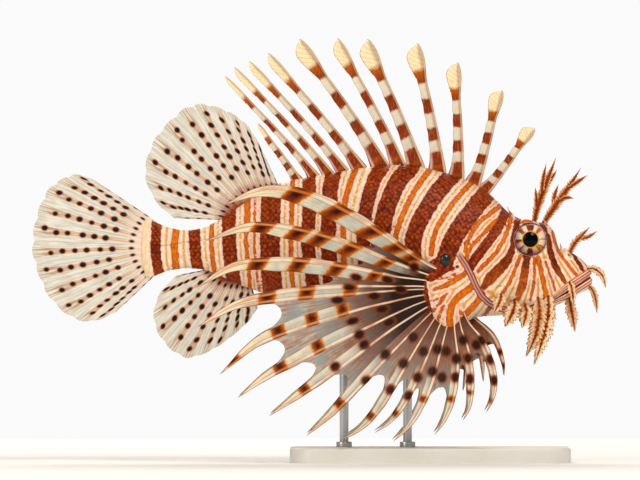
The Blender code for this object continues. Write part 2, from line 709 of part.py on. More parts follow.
def frond(name, points, widest, side=1.0):
    # A flat fringed flap: a thick midrib with notched edges that taper to the tip
    path = smooth_path(points, FLAP_ROWS + 1) * np.array([1.0, side, 1.0])
    solid, normals, halves, cells = [], [], [], []
    for i in range(FLAP_ROWS + 1):
        t = i / FLAP_ROWS
        tangent = path[min(i + 1, FLAP_ROWS)] - path[max(i - 1, 0)]
        tangent /= np.linalg.norm(tangent)
        across = np.cross(tangent, np.array([0.0, 1.0, 0.0]))
        across /= np.linalg.norm(across)
        facing = np.cross(across, tangent)
        fringe = 1.0 if i % 2 == 0 else 0.62
        width = widest * (1.0 - 0.85 * t) * (fringe if i else 0.8)
        for k, (offset, half) in enumerate(((-width, 0.3), (0.0, FLAP_ROOT_HALF * (1.0 - 0.7 * t)), (width, 0.3))):
            solid.append(path[i] + across * offset)
            normals.append(facing)
            halves.append(half)
    for i in range(FLAP_ROWS):
        for k in range(2):
            a = 3 * i + k
            cells.append((a, a + 1, a + 4, a + 3))
    return sheet(name, solid, normals, halves, cells)


def bony_point(name, root, tip, radius, side):
    # A short six-sided spike
    root = np.array(root) * np.array([1.0, side, 1.0])
    tip = np.array(tip) * np.array([1.0, side, 1.0])
    along = (tip - root) / np.linalg.norm(tip - root)
    first = np.cross(along, np.array([0.0, 0.0, 1.0]))
    first /= np.linalg.norm(first)
    second = np.cross(along, first)
    sides = 6
    turns = [math.tau * i / sides for i in range(sides)]
    points = [root - along * 2.0 + radius * (math.cos(a) * first + math.sin(a) * second) for a in turns]
    points.append(tip)
    faces = [(i, (i + 1) % sides, sides) for i in range(sides)]
    faces.append(tuple(range(sides))[::-1])
    return make_object(name, points, faces)


def egg(name, centre, radii, segments, rings):
    points = []
    faces = []
    for r in range(1, rings):
        polar = math.pi * r / rings
        for s in range(segments):
            turn = math.tau * s / segments
            points.append((centre[0] + radii[0] * math.sin(polar) * math.cos(turn),
                           centre[1] - radii[1] * math.cos(polar),
                           centre[2] + radii[2] * math.sin(polar) * math.sin(turn)))
    for r in range(rings - 2):
        for s in range(segments):
            n = (s + 1) % segments
            faces.append((r * segments + s, r * segments + n, (r + 1) * segments + n, (r + 1) * segments + s))
    near, far = len(points), len(points) + 1
    points += [(centre[0], centre[1] - radii[1], centre[2]), (centre[0], centre[1] + radii[1], centre[2])]
    last = (rings - 2) * segments
    faces += [(near, s, (s + 1) % segments) for s in range(segments)]
    faces += [(last + s, far, last + (s + 1) % segments) for s in range(segments)]
    return make_object(name, points, faces)


def mouth_cutter():
    # A thin folded strip across the head, which parts the lower jaw from it
    line = np.array(MOUTH)
    half = 0.5 * GAP
    reach = 30.0
    squares = []
    for i in range(len(line)):
        tangent = line[min(i + 1, len(line) - 1)] - line[max(i - 1, 0)]
        squares.append(np.array([-tangent[1], tangent[0]]) / np.linalg.norm(tangent))
    points = []
    for at, square in zip(line, squares):
        for y in (-reach, reach):
            for sign in (-1.0, 1.0):
                x, z = at + square * half * sign
                points.append((x, y, z))
    faces = [(0, 1, 3, 2)]
    for i in range(len(line) - 1):
        a, b = 4 * i, 4 * i + 4
        for p, q in ((0, 1), (1, 3), (3, 2), (2, 0)):
            faces.append((a + p, a + q, b + q, b + p))
    last = 4 * (len(line) - 1)
    faces.append((last + 2, last + 3, last + 1, last))
    return make_object("mouth_cut", points, faces)


def make_trunk():
    places = np.concatenate([np.linspace(STEM_X + 0.5 * GAP, -12.0, 15), [-6.0, 0.0, 5.0, 10.0, RIM_X]])
    rings = []
    for x in places:
        shift = -0.5 * GAP if x == RIM_X else 0.0
        rings.append([shape_trunk(p) for p in ring(x, shift)])
    return loft("trunk", rings)


def make_tail_stem():
    places = np.linspace(TAIL_X, STEM_X - 0.5 * GAP, 8)
    return loft("tail_stem", [ring(x) for x in places])


def make_head():
    places = np.concatenate([[RIM_X], np.linspace(19.0, 84.5, 21), [86.6]])
    rings = []
    for x in places:
        shift = 0.5 * GAP if x == RIM_X else 0.0
        rings.append([shape_head(p) for p in ring(x, shift)])
    return loft("head", rings, nose=(NOSE_X, 0.0, 98.2))


def make_eyes(head):
    eyes = []
    for name, side in (("eye_right", -1.0), ("eye_left", 1.0)):
        centre = (EYE[0], side * EYE_SIDE, EYE[1])
        socket = egg("socket", centre, (EYE_RADIUS + GAP, EYE_DEPTH + GAP, EYE_RADIUS + GAP), 16, 10)
        apply_boolean(head, socket, "DIFFERENCE")
        remove([socket])
        eyes.append(egg(name, centre, (EYE_RADIUS, EYE_DEPTH, EYE_RADIUS), 16, 10))
    keep_largest(head)
    return eyes


def part_jaw(head):
    cutter = mouth_cutter()
    apply_boolean(head, cutter, "DIFFERENCE")
    remove([cutter])
    jaw = head.copy()
    jaw.data = head.data.copy()
    jaw.name = "lower_jaw"
    bpy.context.scene.collection.objects.link(jaw)
    keep_largest(head)
    keep_largest(jaw, skip=1)
    return jaw


def make_flaps(name, flaps):
    pieces = []
    for side in (1.0, -1.0):
        for points, widest in flaps:
            pieces.append(frond(name, points, widest, side))
    return pieces


def make_tentacle(name, branches, side, roots):
    stem = frond(name, *branches[0], side)
    twigs = [frond(name + "_twig", *branch, side) for branch in branches[1:]]
    if twigs:
        fuse(stem, twigs)
    return keep_clear(stem, roots)


def make_stand(trunk):
    base_points = []
    corner_steps = 6
    for sx, sy, start in ((1, 1, 0.0), (-1, 1, 90.0), (-1, -1, 180.0), (1, -1, 270.0)):
        for i in range(corner_steps + 1):
            turn = math.radians(start + 90.0 * i / corner_steps)
            base_points.append((sx * (0.5 * BASE_LENGTH - BASE_CORNER) + BASE_CORNER * math.cos(turn),
                                sy * (0.5 * BASE_WIDTH - BASE_CORNER) + BASE_CORNER * math.sin(turn)))
    count = len(base_points)
    points = [(x, y, 0.0) for x, y in base_points] + [(x, y, BASE_THICK) for x, y in base_points]
    faces = [tuple(range(count))[::-1], tuple(range(count, 2 * count))]
    faces += [(i, (i + 1) % count, count + (i + 1) % count, count + i) for i in range(count)]
    stand = [finish(make_object("stand_base", points, faces), "stand")]
    for name, x in zip(("stand_rod_rear", "stand_rod_front"), ROD_PLACES):
        points, faces = [], []
        for z in (BASE_THICK + GAP, steady(x, BODY_X, BODY_BOTTOM) + 2.0):
            for i in range(ROD_SIDES):
                turn = math.tau * i / ROD_SIDES
                points.append((x + ROD_RADIUS * math.cos(turn), ROD_RADIUS * math.sin(turn), z))
        faces.append(tuple(range(ROD_SIDES))[::-1])
        faces.append(tuple(range(ROD_SIDES, 2 * ROD_SIDES)))
        for i in range(ROD_SIDES):
            n = (i + 1) % ROD_SIDES
            faces.append((i, n, ROD_SIDES + n, ROD_SIDES + i))
        rod = keep_clear(make_object(name, points, faces), [trunk])
        stand.append(finish(rod, "rod"))
    return stand


def build():
    clear_scene()
    trunk = finish(make_trunk(), "flesh")
    stem = finish(make_tail_stem(), "flesh")
    head = make_head()
    eyes = make_eyes(head)
    jaw = part_jaw(head)

    for name, branches, side in (
        ("brow_tentacle_right", BROW_RIGHT, 1.0),
        ("brow_tentacle_left", BROW_LEFT, 1.0),
        ("nasal_tentacle_right", NASAL, 1.0),
        ("nasal_tentacle_left", NASAL, -1.0),
        ("cheek_barbel_front_right", (BARBEL_FRONT,), 1.0),
        ("cheek_barbel_front_left", (BARBEL_FRONT,), -1.0),
        ("cheek_barbel_rear_right", (BARBEL_REAR,), 1.0),
        ("cheek_barbel_rear_left", (BARBEL_REAR,), -1.0),
    ):
        finish(make_tentacle(name, branches, side, [head, jaw, *eyes]), "tentacle")

    pieces = make_flaps("head_flap", HEAD_FLAPS)
    for side in (1.0, -1.0):
        pieces += [bony_point("head_point", root, tip, radius, side) for root, tip, radius in HEAD_SPINES]
    fuse(head, pieces)
    fuse(jaw, make_flaps("jaw_flap", JAW_FLAPS))
    finish(head, "flesh")
    finish(jaw, "flesh")
    for eye in eyes:
        finish(eye, "eye")

    finish(keep_clear(spiny_fin("spiny_dorsal_fin"), [trunk, head]), "spine")
    finish(keep_clear(median_fin("soft_dorsal_fin", SOFT_DORSAL_ROOTS, SOFT_DORSAL_TIPS, 3.0, MEDIAN_WAVE),
                      [trunk, stem]), "fin")
    finish(keep_clear(median_fin("anal_fin", ANAL_ROOTS, ANAL_TIPS, 3.0, -MEDIAN_WAVE), [trunk, stem]), "fin")
    finish(keep_clear(median_fin("caudal_fin", CAUDAL_ROOTS, CAUDAL_TIPS, 2.5, MEDIAN_WAVE), [stem]), "fin")
    for name, left in (("pectoral_fin_right", False), ("pectoral_fin_left", True)):
        fin = ray_fan(name, PECTORAL, PECTORAL_ROWS, pectoral_depth, left, UPPER_RIBS, RIB_ASIDE)
        finish(keep_clear(fin, [trunk, head]), "fin")
    for name, left in (("pelvic_fin_right", False), ("pelvic_fin_left", True)):
        fin = ray_fan(name, PELVIC, PELVIC_ROWS, pelvic_depth, left)
        finish(keep_clear(fin, [trunk]), "fin")
    make_stand(trunk)


build()
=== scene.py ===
# A red lionfish as a life-size display model on a plain stand.
# Places are worked out in millimetres and turned to metres when a mesh is placed.
# The fish looks along +X, its right side faces -Y, the floor is Z = 0.
import math

import bpy
import numpy as np
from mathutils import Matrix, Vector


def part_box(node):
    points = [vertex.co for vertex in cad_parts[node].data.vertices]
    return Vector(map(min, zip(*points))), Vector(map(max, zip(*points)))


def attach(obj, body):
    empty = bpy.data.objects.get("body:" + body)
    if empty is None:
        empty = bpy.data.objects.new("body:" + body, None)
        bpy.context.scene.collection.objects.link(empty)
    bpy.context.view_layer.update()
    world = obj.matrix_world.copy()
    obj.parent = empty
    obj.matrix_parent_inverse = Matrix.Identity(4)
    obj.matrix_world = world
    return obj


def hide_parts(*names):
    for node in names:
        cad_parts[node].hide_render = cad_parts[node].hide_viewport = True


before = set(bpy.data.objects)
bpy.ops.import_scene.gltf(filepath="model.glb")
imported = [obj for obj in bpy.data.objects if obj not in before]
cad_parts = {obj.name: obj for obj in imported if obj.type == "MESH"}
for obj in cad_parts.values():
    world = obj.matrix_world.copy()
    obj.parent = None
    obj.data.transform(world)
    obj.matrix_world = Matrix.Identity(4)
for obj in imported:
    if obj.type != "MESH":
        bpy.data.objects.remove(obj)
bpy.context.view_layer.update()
mm = 0.001
rightward = np.array([0.0, -1.0, 0.0])
dice = np.random.default_rng(11)
print("frame loaded")


# how a place in the side view, in picture pixels, becomes X and Z on the fish
picture = {"pixel": 0.5357, "originX": 430.0, "originY": 441.6, "lift": 11.0}


def fromPicture(points):
    points = np.array(points, float)
    x = (points[..., 0] - picture["originX"]) * picture["pixel"]
    z = picture["lift"] + (picture["originY"] - points[..., 1]) * picture["pixel"]
    return np.stack([x, z], axis=-1)


# small tools for numbers
def steady(x, xs, values):
    # a smooth curve through stations that never overshoots between them
    widths = np.diff(xs)
    slopes = np.diff(values) / widths
    same = slopes[:-1] * slopes[1:] > 0
    inner = np.where(same, 2 * slopes[:-1] * slopes[1:] / np.where(same, slopes[:-1] + slopes[1:], 1), 0)
    tangent = np.concatenate([slopes[:1], inner, slopes[-1:]])
    x = np.clip(x, xs[0], xs[-1])
    i = np.clip(np.searchsorted(xs, x, side="right") - 1, 0, len(widths) - 1)
    t = (x - xs[i]) / widths[i]
    rise = values[i] * (2 * t**3 - 3 * t**2 + 1) + values[i + 1] * (3 * t**2 - 2 * t**3)
    lean = tangent[i] * (t**3 - 2 * t**2 + t) + tangent[i + 1] * (t**3 - t**2)
    return rise + lean * widths[i]


def smoothStep(value, low, high):
    t = np.clip((value - low) / (high - low), 0, 1)
    return t * t * (3 - 2 * t)


def bell(value, width):
    return np.exp(-(value / width) ** 2)


def stacked(*fields):
    return np.stack(np.broadcast_arrays(*fields), axis=-1)


def unit(vectors):
    return vectors / np.linalg.norm(vectors, axis=-1, keepdims=True)


def curveAt(values, at):
    # a smooth curve through evenly numbered places, read at any numbers between them
    values = np.array(values, float)
    values = np.vstack([2 * values[0] - values[1], values, 2 * values[-1] - values[-2]])
    i = np.clip(np.floor(at).astype(int), 0, len(values) - 4)
    t = (at - i)[:, None]
    a, b, c, d = (values[i + k] for k in range(4))
    return 0.5 * (2 * b + (c - a) * t + (2 * a - 5 * b + 4 * c - d) * t**2 + (3 * b - a - 3 * c + d) * t**3)


def runOf(path):
    return np.concatenate([[0], np.cumsum(np.linalg.norm(np.diff(path, axis=0), axis=1))])


def readAt(places, at, path):
    return np.stack([np.interp(places, at, column) for column in path.T], axis=-1)


def smoothPath(points, count):
    # evenly spaced places on a smooth curve through the given ones
    fine = curveAt(points, np.arange(16 * (len(points) - 1) + 1) / 16)
    run = runOf(fine)
    return readAt(np.linspace(0, run[-1], count), run, fine)


def pathField(x, z, path, widths=0.0):
    # signed distance to a line drawn in picture pixels, and the width at the nearest place
    path = fromPicture(path)
    best, side, width = (np.full(np.shape(x), value) for value in (1e9, 1.0, 0.0))
    widths = np.broadcast_to(widths, len(path))
    for i, start in enumerate(path[:-1]):
        run = path[i + 1] - start
        share = np.clip(((x - start[0]) * run[0] + (z - start[1]) * run[1]) / run.dot(run), 0, 1)
        awayX, awayZ = x - start[0] - share * run[0], z - start[1] - share * run[1]
        away = np.hypot(awayX, awayZ)
        near = away < best
        best = np.where(near, away, best)
        side = np.where(near, np.sign(run[0] * awayZ - run[1] * awayX), side)
        width = np.where(near, widths[i] + share * (widths[i + 1] - widths[i]), width)
    return best * side, width


# small tools for meshes
def selectOnly(*pieces):
    bpy.ops.object.select_all(action="DESELECT")
    for piece in pieces:
        piece.select_set(True)
    if pieces:
        bpy.context.view_layer.objects.active = pieces[0]


def shapeIt(shape):
    # the primitive just added, its vertices moved by a function from their places to millimetres
    piece = bpy.context.object
    places = shape(np.array([v.co for v in piece.data.vertices]))
    piece.data.vertices.foreach_set("co", (places * mm).astype(np.float32).ravel())
    return piece


def setMarks(piece, marks):
    for name, values in marks.items():
        values = np.asarray(values, np.float32)
        kind, field = ("FLOAT_VECTOR", "vector") if values.ndim == 2 else ("FLOAT", "value")
        piece.data.attributes.new(name, kind, "POINT").data.foreach_set(field, values.ravel())


def setUnwrap(mesh, layer, places):
    # each corner takes its vertex's place on the unwrap
    corner = np.empty(len(mesh.loops), np.int32)
    mesh.loops.foreach_get("vertex_index", corner)
    layer.data.foreach_set("uv", places[corner].astype(np.float32).ravel())


def addSheet(name, places, marks, uv=None):
    # a grid primitive, one vertex for each of the (rows, columns) places, with its marks and unwrap
    rows, columns = places.shape[:2]
    bpy.ops.mesh.primitive_grid_add(x_subdivisions=columns - 1, y_subdivisions=rows - 1, size=2)
    piece = bpy.context.object
    piece.name = piece.data.name = name
    mesh = piece.data
    at = np.empty(len(mesh.vertices) * 3, np.float32)
    mesh.vertices.foreach_get("co", at)
    at = at.reshape(-1, 3)
    column = np.rint((at[:, 0] + 1) * 0.5 * (columns - 1)).astype(int)
    row = np.rint((at[:, 1] + 1) * 0.5 * (rows - 1)).astype(int)
    mesh.vertices.foreach_set("co", (places[row, column] * mm).astype(np.float32).ravel())
    setMarks(piece, {key: values[row, column] for key, values in marks.items()})
    if uv is not None:
        setUnwrap(mesh, mesh.uv_layers.active, uv[row, column])
    mesh.update()
    return piece


def joinPieces(name, pieces, angle=50, merge=0.002):
    # joined, seams and tips merged, faces outwards, shaded smooth
    selectOnly(*pieces)
    if len(pieces) > 1:
        bpy.ops.object.join()
    piece = bpy.context.object
    piece.name = piece.data.name = name
    bpy.ops.object.mode_set(mode="EDIT")
    bpy.ops.mesh.select_all(action="SELECT")
    if merge:
        bpy.ops.mesh.remove_doubles(threshold=merge * mm)
        bpy.ops.mesh.delete_loose()
        bpy.ops.mesh.select_all(action="SELECT")
    bpy.ops.mesh.normals_make_consistent(inside=False)
    bpy.ops.object.mode_set(mode="OBJECT")
    bpy.ops.object.shade_smooth_by_angle(angle=math.radians(angle))
    selectOnly()
    return piece


def dress(piece, material, replaced=()):
    piece.data.materials.clear()
    piece.data.materials.append(material)
    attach(piece, "root")
    if replaced:
        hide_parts(*replaced)
    print(piece.name, sum(len(p.vertices) - 2 for p in piece.data.polygons), "triangles")


def bothFaces(front, back=None):
    # rows that run over the front of a sheet and back again over its back
    return np.concatenate([front, (front if back is None else back)[:, ::-1]], axis=1)


def closedMarks(values):
    # marks or unwrap of a sheet's places, laid out as its closed loop
    loop = bothFaces(values)
    return np.concatenate([loop[:1], loop, loop[-1:]])


def closeShell(centre, facing, half):
    # a sheet given its thickness and closed on its own middle line at both ends
    rise = facing * half[..., None]
    ends = bothFaces(centre)
    return np.concatenate([ends[:1], bothFaces(centre + rise, centre - rise), ends[-1:]])


def addShell(name, centre, facing, half, marks, unwrap=None):
    marks = {key: closedMarks(values) for key, values in marks.items()}
    unwrap = None if unwrap is None else closedMarks(unwrap)
    return addSheet(name, closeShell(centre, facing, half), marks, unwrap)


def ribbon(centre, across, facing, before, after, half, spread):
    # a closed blade: front face, back face, and both ends drawn in to a point
    # centre, across and facing are (n, 3); before and after are the widths to each side; half is (n, m)
    width = spread * np.where(spread < 0, before[:, None], after[:, None])
    middle = centre[:, None] + across[:, None] * width[..., None]
    rise = facing[:, None] * (half * (1 - np.abs(spread) ** 8))[..., None]
    loop = bothFaces(middle + rise, middle - rise)
    first = np.broadcast_to(centre[:1, None], loop[:1].shape)
    last = np.broadcast_to(loop[-1:].mean(axis=1, keepdims=True), loop[:1].shape)
    return np.concatenate([first, loop, last])


# small tools for materials
def linear(code):
    parts = [int(code[i:i + 2], 16) / 255 for i in (1, 3, 5)]
    return tuple(p / 12.92 if p <= 0.04045 else ((p + 0.055) / 1.055) ** 2.4 for p in parts) + (1.0,)


def addNode(tree, kind, inputs=None, output=0, stops=(), **settings):
    # one node with its settings; an input is a socket to link, a hex colour or a plain value
    node = tree.nodes.new(kind)
    for key, value in settings.items():
        setattr(node, key, value)
    for key, value in (inputs or {}).items():
        if isinstance(value, bpy.types.NodeSocket):
            tree.links.new(value, node.inputs[key])
        else:
            node.inputs[key].default_value = linear(value) if isinstance(value, str) else value
    if stops:
        elements = node.color_ramp.elements
        while len(elements) < len(stops):
            elements.new(0.5)
        for element, (place, colour) in zip(elements, stops):
            element.position = place
            element.color = linear(colour)
    return node.outputs[output]


def startMaterial(name, **shader):
    material = bpy.data.materials.new(name)
    material.use_nodes = True
    tree = material.node_tree
    surface = tree.nodes["Principled BSDF"]
    for key, value in shader.items():
        surface.inputs[key.replace("_", " ")].default_value = value
    return material, tree, surface, addNode(tree, "ShaderNodeTexCoord", output="Object")


def fields(tree, name):
    # the three numbers that a mark of this name carries
    vector = addNode(tree, "ShaderNodeAttribute", output="Vector", attribute_name=name)
    return addNode(tree, "ShaderNodeSeparateXYZ", {0: vector}).node.outputs


def lumps(tree, place, size, detail=2.0, rough=0.5, spread=(1, 1, 1)):
    # noise whose lumps are about size millimetres across, drawn out by spread
    scale = tuple(1 / (size * mm * s) for s in spread)
    place = addNode(tree, "ShaderNodeMapping", {"Vector": place, "Scale": scale})
    return addNode(tree, "ShaderNodeTexNoise", {
        "Vector": place, "Scale": 1.0, "Detail": detail, "Roughness": rough})


def summed(tree, value, *more):
    # a value with so many times each of the others added
    for other, times in more:
        value = addNode(tree, "ShaderNodeMath", {0: other, 1: times, 2: value}, operation="MULTIPLY_ADD")
    return value


def shaken(tree, value, *shakes):
    # a value pushed up and down by pairs of noise and reach
    for grain, reach in shakes:
        value = summed(tree, value, (grain, reach), (-0.5, reach))
    return value


def graded(tree, value, low, high, stops):
    # a ramp of colours laid over a range of a value
    share = addNode(tree, "ShaderNodeMapRange", {0: value, 1: low, 2: high})
    return addNode(tree, "ShaderNodeValToRGB", {0: share}, stops=stops)


def layered(tree, colour, *layers):
    # colours painted over one another; a layer is its colour and the fields whose product is its share
    # a field is a value alone, or a value with the range it comes from and the range it goes to
    for over, *shares in layers:
        share = None
        for value, *span in shares:
            if span:
                low, high, first, last = (span + [0.0, 1.0])[:4]
                value = addNode(tree, "ShaderNodeMapRange", {0: value, 1: low, 2: high, 3: first, 4: last})
            if share is not None:
                value = addNode(tree, "ShaderNodeMath", {0: share, 1: value}, operation="MULTIPLY")
            share = value
        colour = addNode(tree, "ShaderNodeMix", {0: share, 6: colour, 7: over}, 2, data_type="RGBA")
    return colour


def finish(tree, surface, colour, relief=None, depth=0.0):
    # the paint made a little richer, over a relief of so many millimetres
    richer = addNode(tree, "ShaderNodeHueSaturation", {"Saturation": 1.12, "Color": colour})
    tree.links.new(richer, surface.inputs["Base Color"])
    if relief is not None:
        normal = addNode(tree, "ShaderNodeBump", {"Strength": 0.5, "Distance": depth * mm, "Height": relief})
        tree.links.new(normal, surface.inputs["Normal"])


def mottled(name, size, stops, **shader):
    # a finish whose colour wanders between close tones in lumps of about size millimetres
    material, tree, surface, place = startMaterial(name, **shader)
    tone = addNode(tree, "ShaderNodeValToRGB", {0: lumps(tree, place, size)}, stops=stops)
    tree.links.new(tone, surface.inputs["Base Color"])
    return material


# the body
body = {
    "stations": (
        (-152.0, 131.0, 98.6, 1.5), (-147.0, 128.4, 100.2, 2.3), (-139.0, 125.3, 102.9, 3.4),
        (-130.0, 124.2, 103.9, 4.5), (-122.0, 125.5, 103.3, 5.5), (-112.0, 130.2, 99.8, 7.2),
        (-100.0, 138.2, 94.4, 9.4), (-88.0, 146.3, 90.4, 11.6), (-75.0, 150.6, 87.0, 13.8),
        (-55.0, 154.2, 83.3, 16.4), (-30.0, 158.2, 79.9, 19.4), (-12.0, 159.3, 78.5, 21.2),
        (4.0, 155.8, 77.8, 22.2), (18.0, 151.5, 78.0, 22.6), (28.0, 146.6, 78.3, 22.3),
        (36.0, 139.6, 78.7, 21.3), (44.0, 132.2, 79.1, 19.8), (52.0, 129.4, 79.6, 18.2),
        (62.0, 127.8, 81.6, 15.8), (66.0, 124.2, 83.2, 14.7), (69.5, 116.0, 84.8, 13.6),
        (76.0, 112.2, 88.0, 11.6), (81.0, 108.8, 90.8, 9.8), (84.0, 105.6, 92.4, 8.2),
        (85.6, 103.2, 94.0, 6.6)),
    "widest": 0.46, "backPower": 0.93, "bellyPower": 0.84,
    "nose": (87.4, 98.6), "noseDepth": 1.6, "slit": 1.5,
    "tailX": -152.0, "tailRound": 2.4, "tailReach": 12.0, "tailMiddle": 114.8, "tailHalf": 16.2,
    "around": 224, "trunkStep": 1.0, "headStep": 0.42, "headFrom": 14.0,
}
gillRim = {"x": 15.5, "z": 116.0, "low": 0.0185, "high": 0.012, "reach": 34.0,
           "path": ((455, 249), (459.4, 255.5), (465.5, 264.7), (471, 275.6), (475.5, 286), (481, 295.7),
                    (488, 302.5),
                    (496, 307), (508, 310.6), (522, 311), (534, 307.5), (544, 301.5), (553, 296.8)),
           "inner": ((507, 232), (503, 262), (512, 284), (530, 298), (548, 304))}
eye = {"x": 53.6, "z": 119.3, "radius": 8.7, "depth": 7.3, "side": 9.6, "socket": 8.4, "rim": 10.0,
       "bare": 12.5}
nostril = {"x": 74.0, "side": 8.0, "z": 110.2}
mouth = {"path": ((594, 275.0), (575, 287.4), (560, 296.0)),
         "lines": ((594, 275.0), (575, 287.4), (556, 298.5), (546, 303))}
finPad = {"place": (9.0, -15.0, 82.0), "reach": 12.0, "push": (1.0, -7.0, -11.5)}
# how far the folds and knobs of the head stand out from the plain body, or the pits sink in
relief = {"brow": 5.2, "orbit": 1.8, "cheek": 1.2, "innerRim": 0.7, "lip": 0.9, "slit": 1.3, "lipFold": 0.16,
          "snout": 0.9, "dip": 1.9, "knob": 1.2, "knobRim": 0.5, "pit": 1.6, "gill": 0.9, "gillFold": 0.34}
stationX, stationTop, stationBottom, stationHalf = np.array(body["stations"]).T


def sectionAt(x):
    return [steady(x, stationX, values) for values in (stationTop, stationBottom, stationHalf)]


def bodySection(x, angle):
    top, bottom, half = sectionAt(x)
    middle = bottom + body["widest"] * (top - bottom)
    across, up = np.cos(angle), np.sin(angle)
    power = np.where(up > 0, body["backPower"], body["bellyPower"])
    reach = np.where(up > 0, top - middle, middle - bottom)
    y = -np.sign(across) * np.abs(across) ** power * half
    return y, middle + np.sign(up) * np.abs(up) ** power * reach


def plainBody(x, angle):
    # rings near the gill cover bend with its rim, and those at the tail are rounded
    share = np.clip(1 - np.abs(x - gillRim["x"]) / gillRim["reach"], 0, None)
    tailShare = np.clip(1 - (x - body["tailX"]) / body["tailReach"], 0, None)
    at = x + 0 * angle
    for _ in range(6):
        y, z = bodySection(at, angle)
        bend = np.where(z > gillRim["z"], gillRim["high"], gillRim["low"])
        at = x + share * bend * (z - gillRim["z"]) ** 2
        at = at - body["tailRound"] * tailShare * (1 - ((z - body["tailMiddle"]) / body["tailHalf"]) ** 2)
    return at, y, z


def pitField(x, y, z):
    return np.sqrt((x - nostril["x"]) ** 2 + (np.abs(y) - nostril["side"]) ** 2 + (z - nostril["z"]) ** 2)


def shapedBody(x, y, z):
    # fleshy fin pads, brows, orbits, cheeks, lips, nostrils and gill covers raised on the plain body
    side = np.where(y <= 0, -1.0, 1.0)
    outward = side * np.clip(np.abs(y) / 5, 0, 1)
    px, py, pz = finPad["place"]
    pad = np.exp(-((x - px) ** 2 + (y + side * py) ** 2 + (z - pz) ** 2) / finPad["reach"] ** 2)
    pad = pad * np.clip(np.abs(y) / 6, 0, 1)
    x, y, z = x + pad * finPad["push"][0], y - side * pad * finPad["push"][1], z + pad * finPad["push"][2]
    edge, _ = pathField(x, z, gillRim["path"])  # positive on the head's side of the rim
    onHead = outward * smoothStep(x, 20, 34)
    brow = bell(x - eye["x"], 9) * bell(np.abs(y) - 11.5, 4) * smoothStep(z, eye["z"] - 7, eye["z"] - 3)
    z = z + relief["brow"] * brow
    away = np.hypot(x - eye["x"], z - eye["z"])
    y = y + onHead * relief["orbit"] * bell(away - eye["rim"], 3.0) * smoothStep(z, 94, 100)
    y = y + onHead * relief["cheek"] * bell(x - 50, 14) * bell(z - (94 + 0.3 * (x - 44)), 2.2)
    inner, _ = pathField(x, z, gillRim["inner"])
    y = y + onHead * relief["innerRim"] * np.where(inner > 0, bell(inner, 0.9), bell(inner, 4.0))
    lip, _ = pathField(x, z, mouth["path"])
    roll = bell(lip + 1.9, 1.5) + 0.8 * bell(lip - 1.9, 1.5)
    folds = np.cos(math.tau * lip / 1.3) * smoothStep(-np.abs(lip), -4.6, -4.0)
    lips = relief["lip"] * roll + relief["lipFold"] * folds - relief["slit"] * bell(lip, 0.5)
    y = y + outward * smoothStep(x, 62, 68) * lips
    # the snout dips before a low knob that carries the nostrils
    rise = relief["snout"] * bell(x - 72.8, 1.7) - relief["dip"] * bell(x - 69.3, 1.9)
    z = z + smoothStep(z, 106, 112) * rise
    pit = pitField(x, y, z)
    knob = relief["knob"] * bell(pit, 2.6) + relief["knobRim"] * bell(pit - 1.3, 0.6)
    knob = knob - relief["pit"] * bell(pit, 0.65)
    y, z = y + side * 0.55 * knob, z + 0.8 * knob
    lift = relief["gill"] * np.where(edge >= 0, bell(edge, 4.5), bell(edge, 0.5))
    onRidges = smoothStep(edge, -1.9, -1.3) * smoothStep(-edge, -2.0, -1.5)
    ridges = onRidges * np.cos(math.tau * (edge / 1.5 - 0.5))
    lift = np.where(x < 48, lift, 0) * smoothStep(-x, -48, -38) + relief["gillFold"] * ridges
    y = y + outward * lift * (0.25 + 0.75 * smoothStep(-z, -117, -110))
    # the socket: the skin dives under the eyeball
    away = np.hypot(x - eye["x"], z - eye["z"])
    inside = smoothStep(-away, -eye["socket"] - 0.9, -eye["socket"]) * (np.abs(y) > 4)
    y = y * (1 - inside) + inside * side * np.minimum(np.abs(y), eye["side"] - 0.8)
    return x, y, z


def surfaceAt(stations, angles):
    return np.stack(shapedBody(*plainBody(stations, angles)), axis=-1)


